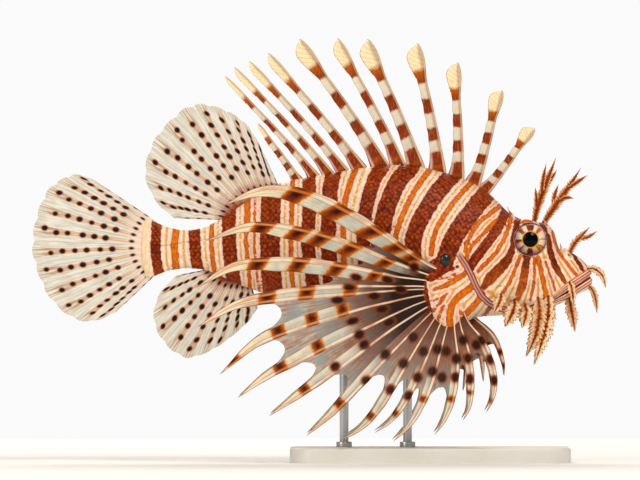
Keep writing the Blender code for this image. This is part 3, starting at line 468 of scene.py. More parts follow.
# markings: stripes across the body as (kind, width, places in the side view)
stripes = (
    ("dark", 10.0, ((158, 210), (156.5, 228), (155.5, 246), (156, 258), (158.5, 270), (162, 285))),
    ("rust", 7.0, ((178, 215), (176, 231), (174.5, 246), (175.5, 262), (178, 280))),
    ("dark", 11.5, ((193, 210), (194, 228), (195, 246), (196, 258), (198, 268), (202, 285))),
    ("rust", 4.4, ((215, 205), (212, 222), (211.5, 246), (213, 262), (217, 285))),
    ("dark", 14.0, ((227, 190), (229, 212), (229, 234), (229.5, 246), (231, 262), (236, 295))),
    ("rust", 6.5, ((247, 185), (247.5, 204), (247.5, 216), (246.5, 232))),
    ("rust", 4.0, ((246.5, 230), (246, 240), (248, 262), (251, 300))),
    ("rust", 2.3, ((256.5, 180), (255, 205), (254.5, 236), (254.5, 250), (257, 270), (260, 300))),
    ("dark", 20.0, ((272, 175), (271, 200), (270, 246), (272, 282), (275, 310))),
    ("rust", 4.6, ((293, 170), (292, 205), (291, 246), (292, 276), (296, 310))),
    ("dark", 13.5, ((309, 168), (309.5, 204), (309, 216), (308, 246), (312, 276), (316, 318))),
    ("dark", 15.5, ((337, 160), (333, 174), (330, 190), (329, 215), (328, 235), (330, 270), (334, 325))),
    ("rust", 5.6, ((358, 160), (354.5, 172), (351, 180), (347.5, 192), (345, 202), (343, 215), (343, 234),
                   (344, 260), (348, 325))),
    ("dark", 14.2, ((387, 155), (382, 168), (377, 174), (374, 180), (370, 192), (367, 204), (365, 214),
                    (363.5, 228), (363, 246), (366, 270), (371, 325))),
    ("dark", 18.0, ((416, 150), (410, 168), (404, 174), (399, 180), (394, 189), (389, 201), (386, 210),
                    (383, 222), (381, 232), (380.5, 248), (384, 275), (392, 325))),
    ("rust", 5.6, ((434, 160), (428, 172), (422, 180), (414.5, 191), (407.5, 204), (402, 216), (397.5, 228),
                   (395, 240), (394.5, 256), (400, 285), (410, 325))),
    ("dark", 17.0, ((464, 160), (455, 173), (447, 181), (438.5, 191), (430, 203), (422, 216), (416, 228),
                    (413, 240), (412.5, 256), (417, 280), (426, 325))),
    ("rust", 5.2, ((480, 172), (472, 182), (462.5, 192), (452, 204), (444, 216), (436.5, 228), (432.5, 240),
                   (431, 254))),
    ("dark", 18.5, ((503, 178), (488, 192), (477.5, 204), (468, 216), (459.5, 228), (452, 240), (447.5, 252),
                    (443, 264), (430, 272))),
    ("rust", 4.4, ((507, 201), (500, 206), (492, 212), (480, 221), (472, 232), (467, 243), (464.5, 251))),
    ("rust", 3.8, ((497, 220), (490, 226), (481, 236), (472, 245), (467, 254), (465.5, 262))),
    ("dark", 10.0, ((509, 202), (506, 211), (501, 222), (493.5, 234), (484.5, 246), (475.5, 258),
                    (469, 267.5))),
    ("rust", 4.2, ((514, 208), (512, 214), (508, 228), (503.5, 240), (496, 252), (488, 261), (478, 271))),
    ("dark", (6.0, 6.0, 5.0, 5.5, 6.5, 8.0, 10.5, 11.0, 11.0, 6.0),
     ((519, 214), (516.5, 224), (513.5, 235), (512.5, 244), (511, 252), (508.5, 258), (503, 264.5),
      (497, 271), (490, 278), (483, 287))),
    ("rust", 3.4, ((520.5, 255), (516.5, 264), (512.5, 276), (508.5, 283), (503, 292))),
    ("dark", (7.0, 6.5, 7.0, 7.5, 7.5, 6.5, 4.0),
     ((527.5, 246), (526.2, 258), (524.7, 270), (523.2, 279), (521, 288), (518, 296), (515, 303))),
    ("rust", 2.4, ((533.5, 258), (534.2, 272), (533, 286), (530, 300))),
    ("rust", 4.4, ((537.3, 258), (540.5, 270), (543, 282), (545.4, 292), (545, 304))),
    ("rust", 2.0, ((545, 262), (548.6, 271), (552.5, 282), (555, 291))),
    ("dark", (4.0, 4.5, 5.0, 5.4, 5.4, 5.0, 3.0),
     ((538, 216), (543, 227), (548, 239), (550, 251), (553.5, 263), (560, 275), (565, 283))),
    ("rust", 3.0, ((552.5, 232), (555.5, 244), (560, 254), (567, 264), (577, 276))),
    ("dark", 3.2, ((570, 250), (574, 256), (583.6, 271))),
    ("rust", 1.6, ((580, 256), (586, 264), (590, 271))),
    ("rust", (1.2, 3.0, 1.4), ((519, 223), (526, 220.6), (532, 221))),
    ("rust", (1.2, 2.6, 1.2), ((535, 220), (540, 222), (544, 228))),
    # the fleshy base of the pectoral fin
    ("rust", (4.5, 5.6, 5.6, 5.0, 2.4), ((467.5, 271), (461.7, 275.6), (452.5, 281.3), (443.9, 285.9),
                                         (433, 289.6))),
    ("rust", 7.0, ((473.6, 284.7), (465.2, 291.7), (457.1, 297.4), (452, 304.3), (449.7, 311.8),
                   (449.4, 328))),
    ("rust", 6.4, ((481.7, 294), (476.7, 302), (470.9, 308.9), (466, 313))),
    ("dark", 4.0, ((490.8, 305.6), (485.9, 312.9), (481, 319))),
    ("dark", 3.0, ((457.5, 266.6), (451, 269), (444, 271.6), (434, 273.5))),
    ("rust", 2.2, ((448, 293), (441, 297.4), (432, 300.6))),
    ("rust", 3.0, ((444, 298.6), (438, 304.6), (431, 312))),
    ("rust", 3.0, ((444, 306), (440, 313), (436, 324))),
    ("rust", 2.6, ((460, 309), (461, 318), (462, 328))),
    ("rust", 2.0, ((456, 273.5), (448, 277), (436, 279))),
)
lateralLine = ((445, 213), (430, 209), (415, 205), (400, 202), (377, 201), (340, 203), (300, 212), (260, 225),
               (215, 238), (160, 246))


def stripeMarks(x, z):
    # signed distance to the nearest stripe, distance from the middle of the pale gap, and kind of stripe
    first, second, kind = (np.full(np.shape(x), value) for value in (1e9, 1e9, 0.0))
    for name, width, path in stripes:
        away, wide = pathField(x, z, path, np.array(width) * picture["pixel"])
        away = np.abs(away) - 0.5 * wide * (1 + 0.14 * smoothStep(x, 36, 60))
        nearer = away < first
        second = np.where(nearer, first, np.minimum(second, away))
        kind = np.where(nearer, float(name == "rust"), kind)
        first = np.where(nearer, away, first)
    # the dark stripes turn to rust over the head, most of all low on the cheek
    low = smoothStep(x, 22, 40) * (0.04 + 0.5 * smoothStep(-z, -109, -91))
    return stacked(first, 0.5 * (second - first), np.maximum(kind, low))


def bodyMarks(x, y, z):
    rim, _ = pathField(x, z, gillRim["path"])
    onRim = 1 - smoothStep(z, 110.5, 112.5)
    # the lip lines draw together toward the corner of the mouth
    lip, _ = pathField(x, z, mouth["lines"])
    lip = lip * (1 + smoothStep(-x, -74, -63))
    onLip = smoothStep(x, 61.5, 64.5)
    line, _ = pathField(x, z, lateralLine)
    belly = smoothStep(-z, -88, -80) * smoothStep(-x, -40, -10) * smoothStep(np.hypot(x - 7, z - 76), 12, 22)
    edges = np.clip(stacked(rim, onRim * (1 - onLip), np.abs(line)), -9, 9)
    lips = np.clip(stacked(lip, onLip, pitField(x, y, z)), -9, 9)
    return {"bands": stripeMarks(x, z), "edges": edges, "lips": lips, "belly": belly}


def makeSkin():
    stations = np.concatenate([np.arange(body["tailX"], body["headFrom"], body["trunkStep"]),
                               np.arange(body["headFrom"], stationX[-1] + 0.01, body["headStep"])])
    angle = np.linspace(0, math.tau, body["around"] + 1)[None] + 0.5 * math.pi
    rings = surfaceAt(stations[:, None], angle)
    # the tail end closes to a line, the nose to a point
    closing = []
    for share in (0.97, 0.88, 0.72, 0.5, 0.25, 0.0):
        ring = rings[-1:] * (1, share, 1)
        ring[..., 2] = body["nose"][1] + (ring[..., 2] - body["nose"][1]) * share
        ring[..., 0] += body["noseDepth"] * math.sqrt(1 - share * share)
        closing.append(ring)
    rings = np.concatenate([rings[:1] * (1, 0, 1), rings] + closing)
    # the slit of the mouth is drawn back between two round lips
    slit, _ = pathField(rings[..., 0], rings[..., 2], mouth["path"])
    rings[..., 0] -= body["slit"] * bell(slit, 0.9) * smoothStep(rings[..., 0], 80, 86)
    stations = np.concatenate([[-154], stations, 86 + np.arange(len(closing)) * 0.2])
    unwrap = stacked(np.linspace(0, 1, rings.shape[1])[None], alongUnwrap(stations[:, None]))
    marks = bodyMarks(*np.moveaxis(rings, -1, 0))
    return joinPieces("fishSkin", [addSheet("fishSkin", rings, marks, unwrap)], 70)


def alongUnwrap(stations):
    return (stations + 154) / 244


def skinColour(tree, place, scaleLight=None):
    # the colour that skin and scales share, from the marks each of them carries
    edge, middle, kind = fields(tree, "bands")
    rim, onRim, line = fields(tree, "edges")
    lip, onLip, pit = fields(tree, "lips")
    belly = addNode(tree, "ShaderNodeAttribute", output="Fac", attribute_name="belly")
    wobble = lumps(tree, place, 2.2)
    edge = shaken(tree, edge, (wobble, 1.7))
    mottle = lumps(tree, place, 1.9, 3.0, 0.6, (0.8, 1, 1.5))
    broad = lumps(tree, place, 9.0)
    # painted light: scales are painted dark at their roots and lit at their free edges, a painted shade and
    # painted highlight; the skin below them is painted in their shade
    paintedScaleLight = {"dark": (("#420F05", (0.5,)),), "rust": (), "pale": ()}
    if scaleLight is not None:
        paintedScaleLight = {"dark": (("#4A1005", (scaleLight, 0.0, 0.25, 0.75, 0.0)),
                           ("#B85416", (scaleLight, 0.3, 0.9, 0.0, 0.75))),
                  "rust": (("#8E3408", (scaleLight, 0.0, 0.2, 0.45, 0.0)),),
                  "pale": (("#B98E7C", (scaleLight, 0.0, 0.2, 0.3, 0.0)),)}
    dark = graded(tree, mottle, 0.0, 1.0, (
        (0.30, "#4E1205"), (0.46, "#802808"), (0.60, "#A03F0C"), (0.72, "#BE5A17")))
    dark = layered(tree, dark, ("#76240D", (broad, 0.35, 0.65, 0.0, 0.35)), *paintedScaleLight["dark"],
                   ("#661A08", (edge, -0.8, -0.1, 0.0, 0.6)))
    rust = graded(tree, mottle, 0.0, 1.0, ((0.30, "#B5480A"), (0.5, "#D46D16"), (0.70, "#E08A2E")))
    rust = layered(tree, rust, ("#A23C08", (edge, -0.8, 0.0, 0.0, 0.8)), *paintedScaleLight["rust"])
    # pale gaps: pink at the stripes' edges, then cream, with an ochre line down the middle of a wide one
    pale = graded(tree, edge, 0.0, 3.2, (
        (0.0, "#E9B4A2"), (0.15, "#F7DCCB"), (0.42, "#FAEAD0"), (0.8, "#F4DDB6")))
    gap = summed(tree, edge, (middle, 1.0))
    pale = layered(tree, pale, ("#CDA894", (mottle, 0.38, 0.66, 0.0, 0.5)), *paintedScaleLight["pale"],
                   ("#D8913F", (middle, 0.25, 0.85, 1.0, 0.0), (gap, 1.0, 1.5), (0.85,)))
    ridge = graded(tree, rim, -2.0, 2.0, (
        (0.0, "#4A1812"), (0.10, "#5E221C"), (0.17, "#B47A72"), (0.34, "#D9A79C"), (0.46, "#A8625A"),
        (0.5, "#5E221C"), (0.56, "#B47A72"), (0.70, "#D9A79C"), (0.82, "#A8625A"), (0.9, "#4E1B14")))
    # lip stripes; the slit of the mouth at their middle is painted near-black, a painted shade where it sinks
    # between the lips
    lips = graded(tree, lip, -5.4, 5.4, (
        (0.0, "#F2D2BC"), (0.05, "#F2D2BC"), (0.08, "#B0563A"), (0.11, "#B0563A"), (0.14, "#F1CBB4"),
        (0.18, "#F1CBB4"), (0.21, "#9C3F24"), (0.235, "#9C3F24"), (0.27, "#EFC2AA"), (0.30, "#DFA48F"),
        (0.335, "#B9705E"), (0.36, "#7E3020"), (0.385, "#E5B29C"), (0.42, "#ECC2AB"), (0.46, "#B9705E"),
        (0.5, "#3A130C"), (0.54, "#B9705E"), (0.57, "#F6D6C0"), (0.61, "#F0C6AE"), (0.64, "#A4502E"),
        (0.66, "#A4502E"), (0.69, "#F2CDB8"), (0.73, "#EDBEA6"), (0.76, "#B8643F"), (0.785, "#B8643F"),
        (0.82, "#FBE8D6"), (0.86, "#FBE8D6"), (0.89, "#AC5638"), (0.93, "#F2D0BA")))
    nearLip = addNode(tree, "ShaderNodeMath", {0: lip}, operation="ABSOLUTE")
    return layered(tree, dark, (rust, (kind,)), (pale, (edge, -0.18, 0.12)), ("#F0DAC2", (belly,), (0.55,)),
                   ("#4A2014", (line, 0.15, 0.5, 0.45, 0.0)),
                   (ridge, (rim, -1.95, -1.6), (rim, 1.7, 1.95, 1.0, 0.0), (onRim,)),
                   (lips, (onLip,), (shaken(tree, nearLip, (wobble, 2.0)), 4.4, 5.1, 0.96, 0.0)),
                   # painted shade: the slit of the mouth painted near-black between the lips
                   ("#2E0D08", (nearLip, 0.2, 0.45, 0.95, 0.0), (onLip,)),
                   ("#FBE9CF", (pit, 2.4, 3.2, 0.85, 0.0)), ("#C9823A", (pit, 1.5, 2.1, 0.8, 0.0)),
                   # painted shade: the pit of each nostril painted near-black
                   ("#2E0F08", (pit, 0.9, 1.3, 0.95, 0.0)))


def skinMaterial():
    # cast and hand-painted skin under a satin varnish: soft broad highlights over fine painted texture
    material, tree, surface, place = startMaterial("paintedSatinSkin", Roughness=0.5, Specular_IOR_Level=0.1)
    finish(tree, surface, skinColour(tree, place), lumps(tree, place, 0.9, 3.0), 0.25)
    return material


dress(makeSkin(), skinMaterial(), ("head", "lower_jaw", "trunk", "tail_stem"))
print("skin made")


# scales: one low, pointed plate, copied into overlapping rows over the body and the cheeks
scales = {"length": 2.5, "width": 2.9, "rise": 0.30, "sink": 0.16, "rowStep": 1.45, "overlap": 0.93,
          "from": -150.0, "to": 66.0, "headSize": 0.62, "tailSize": 0.72, "patch": 0.003}


def oneScale():
    # a flat cone primitive pressed into a plate: round at the root, pointed and raised at the free edge
    bpy.ops.mesh.primitive_cone_add(vertices=10, radius1=1, radius2=0, depth=1, end_fill_type="TRIFAN")
    plate = bpy.context.object
    at = np.array([v.co for v in plate.data.vertices])
    faces = [tuple(p.vertices) for p in plate.data.polygons]
    bpy.data.objects.remove(plate, do_unlink=True)
    rim, above = np.hypot(at[:, 0], at[:, 1]) > 0.5, at[:, 2] > 0
    turn = np.arctan2(at[:, 1], at[:, 0])
    rear = np.clip(-np.cos(turn), 0, 1)
    shape = np.stack([np.where(rim, np.cos(turn) * (0.5 + 0.16 * rear**4), np.where(above, -0.2, 0.0)),
                      np.where(rim, np.sin(turn) * (0.5 - 0.12 * rear), 0),
                      np.where(rim, -0.6 + 1.3 * rear, np.where(above, 1.0, -1.0))], axis=1)
    # each corner also carries its painted light: shaded at the root, lit at the raised free edge
    return shape, faces, np.where(rim, 0.5 * rear, np.where(above, 0.9, 0.0))


def scalePlaces():
    # station, angle and size of each root; the rows close up where the body is slim or the head begins
    rows = []
    x = scales["from"]
    while x < scales["to"]:
        size = 1 - (1 - scales["headSize"]) * float(smoothStep(x, 18, 40))
        size *= 1 - (1 - scales["tailSize"]) * float(smoothStep(-x, 110, 150))
        top, bottom, half = sectionAt(x)
        around = math.pi * (0.5 * (top - bottom) + half) * 1.02
        count = max(12, int(around / (scales["width"] * size * scales["overlap"])))
        turn = (np.arange(count) + 0.5 * (len(rows) % 2)) / count * math.tau + dice.normal(0, 0.012, count)
        rows.append((x + dice.normal(0, 0.09, count), turn, size * dice.uniform(0.92, 1.1, count)))
        x += scales["rowStep"] * size
    return [np.concatenate(column) for column in zip(*rows)]


def makeScales(name, side, places):
    shape, faces, light = oneScale()
    stations, angles, sizes = places
    root = surfaceAt(stations, angles)
    x, y, z = root.T
    ahead = surfaceAt(stations + 0.5, angles) - root
    facing = unit(np.cross(ahead, surfaceAt(stations, angles + 0.02) - root))
    facing *= np.sign(np.sum(facing * (root * (0, 1, 1) - (0, 0, 112)), axis=1))[:, None]
    ahead = unit(ahead - facing * np.sum(facing * ahead, axis=1)[:, None])
    # no scales on the eye, the rim of the gill cover, the fin's pad, the forehead, the chin or the tail's end
    rim, _ = pathField(x, z, gillRim["path"])
    keep = (np.hypot(x - eye["x"], z - eye["z"]) > eye["bare"]) & (np.hypot(x - 12, z - 84) >= 12)
    keep &= ~((rim > -1.4) & (rim < 4.4) & (z < 114) & (x < 48)) & ~((x > 46) & (z > 122))
    keep &= ~((x > 50) & (z < 92)) & (np.where(y > 0, 1, -1) == side) & ~((x < -118) & (np.abs(y) < 0.4))
    root, facing, ahead = root[keep], facing[keep], ahead[keep]
    stations, angles, sizes = stations[keep], angles[keep], sizes[keep]
    count = len(root)
    local = shape[None] * (scales["length"], scales["width"], 1.0) * sizes[:, None, None]
    rise = np.where(shape[:, 2] > 0, scales["rise"], scales["sink"]) * shape[:, 2] * sizes[:, None]
    square = np.cross(facing, ahead)
    flat = root[:, None] + ahead[:, None] * local[..., :1] + square[:, None] * local[..., 1:2]
    # each corner is dropped back to the round of the body before it is raised
    bow = 0.5 * local[..., 1] ** 2 / np.clip(sectionAt(root[:, 0])[2], 3, 30)[:, None]
    places = (flat + facing[:, None] * (rise - bow)[..., None]).reshape(-1, 3)
    everyFace = []
    for size in (3, 4):
        group = np.array([face for face in faces if len(face) == size])
        if len(group):
            group = np.arange(count)[:, None, None] * len(shape) + group
            everyFace += group.reshape(-1, size).tolist()
    mesh = bpy.data.meshes.new(name)
    mesh.from_pydata((places * mm).tolist(), [], everyFace)
    piece = bpy.data.objects.new(name, mesh)
    bpy.context.scene.collection.objects.link(piece)
    # painted light of each scale, from shaded root to lit free edge, at a strength that differs at random
    # between scales
    tone = light[None] * dice.uniform(0.35, 1.0, count)[:, None]
    setMarks(piece, {**bodyMarks(*places.T), "scaleLight": tone.ravel()})
    # every scale takes a small patch at its root's place on the skin's own unwrap
    around = np.mod(angles - 0.5 * math.pi, math.tau) / math.tau
    patch = stacked(around[:, None] + shape[:, 1] * scales["patch"],
                    alongUnwrap(stations)[:, None] + shape[:, 0] * scales["patch"])
    setUnwrap(mesh, mesh.uv_layers.new(name="OFBake"), patch.reshape(-1, 2))
    print(count, "scales")
    return joinPieces(name, [piece], 60, merge=0)


def scaleMaterial():
    # painted scales under the same satin varnish, a little glossier than the skin, with painted highlights on
    # their raised free edges and painted shade at their roots
    material, tree, surface, place = startMaterial("paintedSatinScales", Roughness=0.38,
                                                   Specular_IOR_Level=0.14)
    light = addNode(tree, "ShaderNodeAttribute", output="Fac", attribute_name="scaleLight")
    finish(tree, surface, skinColour(tree, place, light))
    return material


scalePaint = scaleMaterial()
places = scalePlaces()
for word, side in (("Right", -1), ("Left", 1)):
    dress(makeScales("scaleCoat" + word, side, places), scalePaint)
print("scales made")


# eyes: a painted glass ball each, with a fleshy ring at its rim
def makeEye(name, side):
    def ball(at):
        # the pole faces sideways; the pupil stands a little proud like a real cornea
        swell = 1 + 0.05 * bell(np.hypot(at[:, 0], at[:, 1]), 0.55) * (at[:, 2] > 0)
        out = eye["side"] + at[:, 2] * eye["depth"] * swell
        return stacked(eye["x"] + at[:, 0] * eye["radius"], side * out, eye["z"] + at[:, 1] * eye["radius"])

    bpy.ops.mesh.primitive_uv_sphere_add(segments=64, ring_count=40, radius=1)
    return joinPieces(name, [shapeIt(ball)], 80)


def skinLevel(x, z):
    # how far the plain side of the body stands from the mid plane at places in the side view
    around = np.linspace(-0.5 * math.pi, 0.5 * math.pi, 181)
    levels = []
    for oneX, oneZ in zip(x, z):
        at = surfaceAt(np.full(len(around), oneX), around)
        levels.append(abs(at[np.argmin(np.hypot(at[:, 0] - oneX, at[:, 2] - oneZ)), 1]))
    return np.array(levels)


def makeOrbit(name, side):
    def ring(at):
        turn = np.arctan2(at[:, 1], at[:, 0])
        wobble = 0.06 * np.sin(7 * turn) + 0.05 * np.sin(11 * turn + 1)
        reach = 8.8 + (np.hypot(at[:, 0], at[:, 1]) - 1) * 3.0 + wobble
        # outside, the ring lies on the skin just past the socket; inside, it meets the eyeball
        angles = np.linspace(0, math.tau, 361)
        level = skinLevel(eye["x"] + eye["rim"] * np.cos(angles), eye["z"] + eye["rim"] * np.sin(angles))
        level = np.interp(np.mod(turn, math.tau), angles, level)
        ballLevel = eye["side"] + eye["depth"] * math.sqrt(1 - (eye["socket"] / eye["radius"]) ** 2)
        rise = ballLevel + (level - 0.2 - ballLevel) * smoothStep(reach, eye["socket"], eye["socket"] + 1.1)
        return stacked(eye["x"] + np.cos(turn) * reach, side * (rise + at[:, 2] * 4.5),
                       eye["z"] + np.sin(turn) * reach)

    bpy.ops.mesh.primitive_torus_add(major_segments=120, minor_segments=12, major_radius=1, minor_radius=0.1)
    return joinPieces(name, [shapeIt(ring)], 80)


def eyeMaterial():
    # painted disc under clear glass: a black pupil, a gold ring, an iris in spokes and hard small highlights
    material, tree, surface, place = startMaterial("paintedGlassEye", Roughness=0.5, Specular_IOR_Level=0.0,
                                                   Coat_Weight=0.28, Coat_Roughness=0.07, Coat_IOR=1.4)
    middle = (-eye["x"] * mm, 0, -eye["z"] * mm)
    centred = addNode(tree, "ShaderNodeMapping", {"Vector": place, "Location": middle})
    x, _, z = addNode(tree, "ShaderNodeSeparateXYZ", {0: centred}).node.outputs
    flat = addNode(tree, "ShaderNodeCombineXYZ", {0: x, 2: z})
    away = addNode(tree, "ShaderNodeVectorMath", {0: flat}, "Value", operation="LENGTH")
    radius = addNode(tree, "ShaderNodeMapRange", {0: away, 1: 0.0, 2: eye["radius"] * mm})
    turn = addNode(tree, "ShaderNodeMath", {0: z, 1: x}, operation="ARCTAN2")
    turn = addNode(tree, "ShaderNodeMapRange", {0: turn, 1: -math.pi, 2: math.pi})
    turn = shaken(tree, turn, (lumps(tree, place, 2.4), 0.03))
    spokes = addNode(tree, "ShaderNodeValToRGB", {0: turn}, stops=(
        (0.0, "#8E2A14"), (0.035, "#8E2A14"), (0.055, "#E9DCCB"), (0.10, "#F4EADB"), (0.12, "#6A1E10"),
        (0.15, "#D8D0C6"), (0.20, "#E9DFD2"), (0.215, "#5A1808"), (0.275, "#6E2410"), (0.29, "#D9B7AE"),
        (0.34, "#E6C9B8"), (0.36, "#A8641E"), (0.40, "#D9A038"), (0.415, "#8E3A12"), (0.43, "#F6EAD6"),
        (0.49, "#F3E6D4"), (0.50, "#D9792E"), (0.53, "#F3E2CC"), (0.60, "#F0DCC6"), (0.615, "#D2641A"),
        (0.65, "#C25A1A"), (0.665, "#F5E6D8"), (0.70, "#F0DACC"), (0.715, "#6A1C0A"), (0.79, "#7E2A10"),
        (0.805, "#F3E8DC"), (0.85, "#F0DCC2"), (0.865, "#A8641A"), (0.90, "#8E3A14"), (0.92, "#F0E4D8")))
    streak = lumps(tree, place, 0.8, 3.0)
    spokes = layered(tree, spokes, ("#B99A8E", (streak, 0.45, 0.7, 0.0, 0.35)))
    gold = shaken(tree, radius, (streak, 0.25))
    finish(tree, surface, layered(
        tree, "#D9A42E", (spokes, (gold, 0.51, 0.57)), ("#D9BFB8", (radius, 0.86, 0.92, 0.0, 0.6)),
        ("#6E4A48", (radius, 0.95, 0.98)), ("#010102", (radius, 0.465, 0.48, 1.0, 0.0))))
    return material


eyePaint = eyeMaterial()
# the fleshy ring: painted like the skin, satin
orbitPaint = mottled("paintedFleshRim", 2.4, ((0.35, "#7A3A30"), (0.5, "#B98478"), (0.65, "#E8CDBE")),
                     Roughness=0.45, Specular_IOR_Level=0.15)
for word, side in (("Right", -1), ("Left", 1)):
    dress(makeEye("eyeBall" + word, side), eyePaint, ("eye_" + word.lower(),))
    dress(makeOrbit("orbitRim" + word, side), orbitPaint)
print("eyes made")


# fringed tentacles, barbels and flaps of the head: points from root to tip, greatest half width
fringes = {
    "browRight": (
        (((55.6, -7.0, 127.6), (57.4, -9.0, 136.0), (62.4, -11.6, 150.0), (67.5, -13.0, 163.5)), 2.7),
        (((56.8, -8.2, 133.0), (57.0, -10.0, 140.0), (56.2, -12.0, 147.4)), 1.6),
        (((59.4, -10.2, 141.6), (60.4, -12.6, 151.0), (62.1, -14.6, 160.2)), 1.6),
        (((60.8, -10.9, 146.0), (64.6, -10.6, 151.6), (68.0, -10.0, 156.6)), 1.6)),
    "browLeft": (
        (((60.2, 7.0, 126.4), (65.0, 9.0, 134.0), (74.6, 11.8, 147.6), (81.4, 13.0, 158.1)), 2.7),
        (((66.0, 9.4, 135.6), (67.0, 11.6, 143.0), (69.2, 13.4, 149.0)), 1.6),
        (((68.4, 10.1, 139.0), (72.6, 9.4, 141.6), (77.4, 8.6, 141.4)), 1.6),
        (((73.4, 11.5, 146.0), (79.6, 11.0, 150.4), (84.6, 10.4, 153.8)), 1.6)),
    "nasal": (
        (((74.0, -4.6, 110.6), (77.4, -5.6, 117.0), (81.6, -6.6, 121.8), (85.6, -7.2, 126.0)), 2.0),
        (((79.0, -6.0, 119.2), (84.6, -5.4, 120.6), (89.6, -5.0, 123.8)), 1.4)),
    "barbelFront": ((((62.4, -10.6, 91.0), (63.4, -14.0, 83.0), (61.0, -15.0, 69.0), (55.7, -15.6, 52.0)),
                     4.4),),
    "barbelRear": ((((57.4, -12.6, 89.5), (58.4, -15.6, 81.0), (56.6, -16.8, 69.0), (51.4, -17.4, 56.3)),
                    4.2),),
    "headFlaps": (
        (((82.4, -4.4, 103.4), (87.6, -6.6, 103.6), (92.2, -7.6, 100.0), (94.3, -8.0, 93.3)), 2.0),
        (((73.4, -10.2, 98.6), (75.6, -12.8, 93.6), (76.9, -13.4, 83.6)), 2.2),
        (((50.8, -13.6, 84.4), (51.4, -17.4, 79.6), (49.3, -18.4, 71.9)), 3.6),
        (((45.0, -15.6, 87.0), (44.6, -19.6, 82.0), (40.2, -20.4, 72.4)), 4.0),
        (((38.0, -18.0, 90.6), (37.4, -21.6, 86.6), (33.7, -22.2, 79.6)), 3.2)),
    "jawFlaps": (
        (((84.0, -2.6, 95.6), (87.2, -4.8, 92.0), (88.8, -5.4, 86.6), (89.5, -5.8, 79.9)), 1.9),
        (((74.4, -4.8, 89.4), (75.2, -6.8, 84.0), (76.6, -7.4, 76.6), (77.7, -7.8, 69.7)), 3.0)),
    "tooth": 1.7, "broadTooth": 2.2, "broadFrom": 2.9, "rowsPerTooth": 8, "columns": 11, "coreHalf": 0.36,
    "tipHalf": 0.02,
}


def makeFrond(name, points, widest, side, tone):
    # a flat blade with a round core; a slim one has leaflets that lean to the tip, a broad one round lobes
    broad = widest > fringes["broadFrom"] or tone > 0.7
    length = runOf(np.array(points, float))[-1]
    teeth = max(4, round(length / fringes["broadTooth" if broad else "tooth"]))
    rows = teeth * fringes["rowsPerTooth"] + 1
    path = smoothPath(points, rows) * (1, side, 1)
    tangent = unit(np.gradient(path, axis=0))
    across = unit(np.cross(tangent, (0.0, 1.0, 0.0)))
    facing = np.cross(across, tangent)
    t = np.linspace(0, 1, rows)
    spread = np.linspace(-1, 1, fringes["columns"])
    spread = np.sign(spread) * np.abs(spread) ** 0.8
    swell = 0.55 + 0.6 * np.sin(math.pi * np.clip(t * 1.1, 0, 1)) ** 0.7
    envelope = widest * swell * np.clip(1 - t**4, 0, 1)
    widths, leans = [], []
    for shift in (0.0, 0.45):
        phase = np.mod(t * teeth + shift + 0.25 * np.sin(7 * t + widest), 1.0)
        if broad:
            cut = np.sin(math.pi * phase ** 0.8) ** 0.7
        else:
            cut = np.where(phase < 0.7, (phase / 0.7) ** 1.2, ((1 - phase) / 0.3) ** 0.8)
        cut = cut * (0.72 + 0.28 * np.sin(t * teeth * 2.4 + 9 * shift) * np.cos(t * teeth * 0.9 + widest))
        widths.append(envelope * (0.56 + 0.52 * cut) + fringes["tipHalf"])
        widths[-1][-1] = fringes["tipHalf"]
        leans.append((0.5 if broad else 0.8) * envelope * cut)
    half = fringes["coreHalf"] * widest * (1 - 0.7 * t[:, None]) * np.clip(bell(spread, 0.42) + 0.16, 0, 1)
    places = ribbon(path, across, facing, *widths, half, spread)
    lean = np.where(spread < 0, leans[0][:, None], leans[1][:, None]) * np.abs(spread) ** 1.5
    curl = 0.2 * np.sin(t[:, None] * teeth * 2.1 + spread) * spread**2 * envelope[:, None]
    places[1:-1] += bothFaces(tangent[:, None] * lean[..., None] + facing[:, None] * curl[..., None])
    return addSheet(name, places, {"frond": closedMarks(stacked(np.abs(spread), t[:, None], tone))})


def frondMaterial():
    # painted skin fringe: a rust core, cream leaflets with fine dark lines, a dull satin surface
    material, tree, surface, place = startMaterial("paintedFringe", Roughness=0.5, Specular_IOR_Level=0.12)
    edge, along, lot = fields(tree, "frond")
    edge = shaken(tree, edge, (lumps(tree, place, 1.6), 0.55))
    rusty = graded(tree, edge, 0.0, 1.0, (
        (0.0, "#641C0C"), (0.34, "#863014"), (0.54, "#A8562C"), (0.68, "#D99C70"), (0.85, "#EDC29A"),
        (1.0, "#A8643C")))
    creamy = graded(tree, edge, 0.0, 1.0, (
        (0.0, "#5E1C0A"), (0.13, "#8A3A18"), (0.24, "#C8864F"), (0.35, "#EFD0A8"), (0.72, "#F8E6C8"),
        (0.90, "#E0AE80"), (1.0, "#9C5A34")))
    finish(tree, surface, layered(
        tree, rusty, (creamy, (lot,)), ("#A8622E", (lumps(tree, place, 0.8), 0.5, 0.72, 0.0, 0.5)),
        ("#240C08", (lumps(tree, place, 1.5, 0.0), 0.71, 0.76), (lot, 0.7, 0.9)),
        ("#8E3414", (along, 0.0, 0.12, 0.6, 0.0))))
    return material


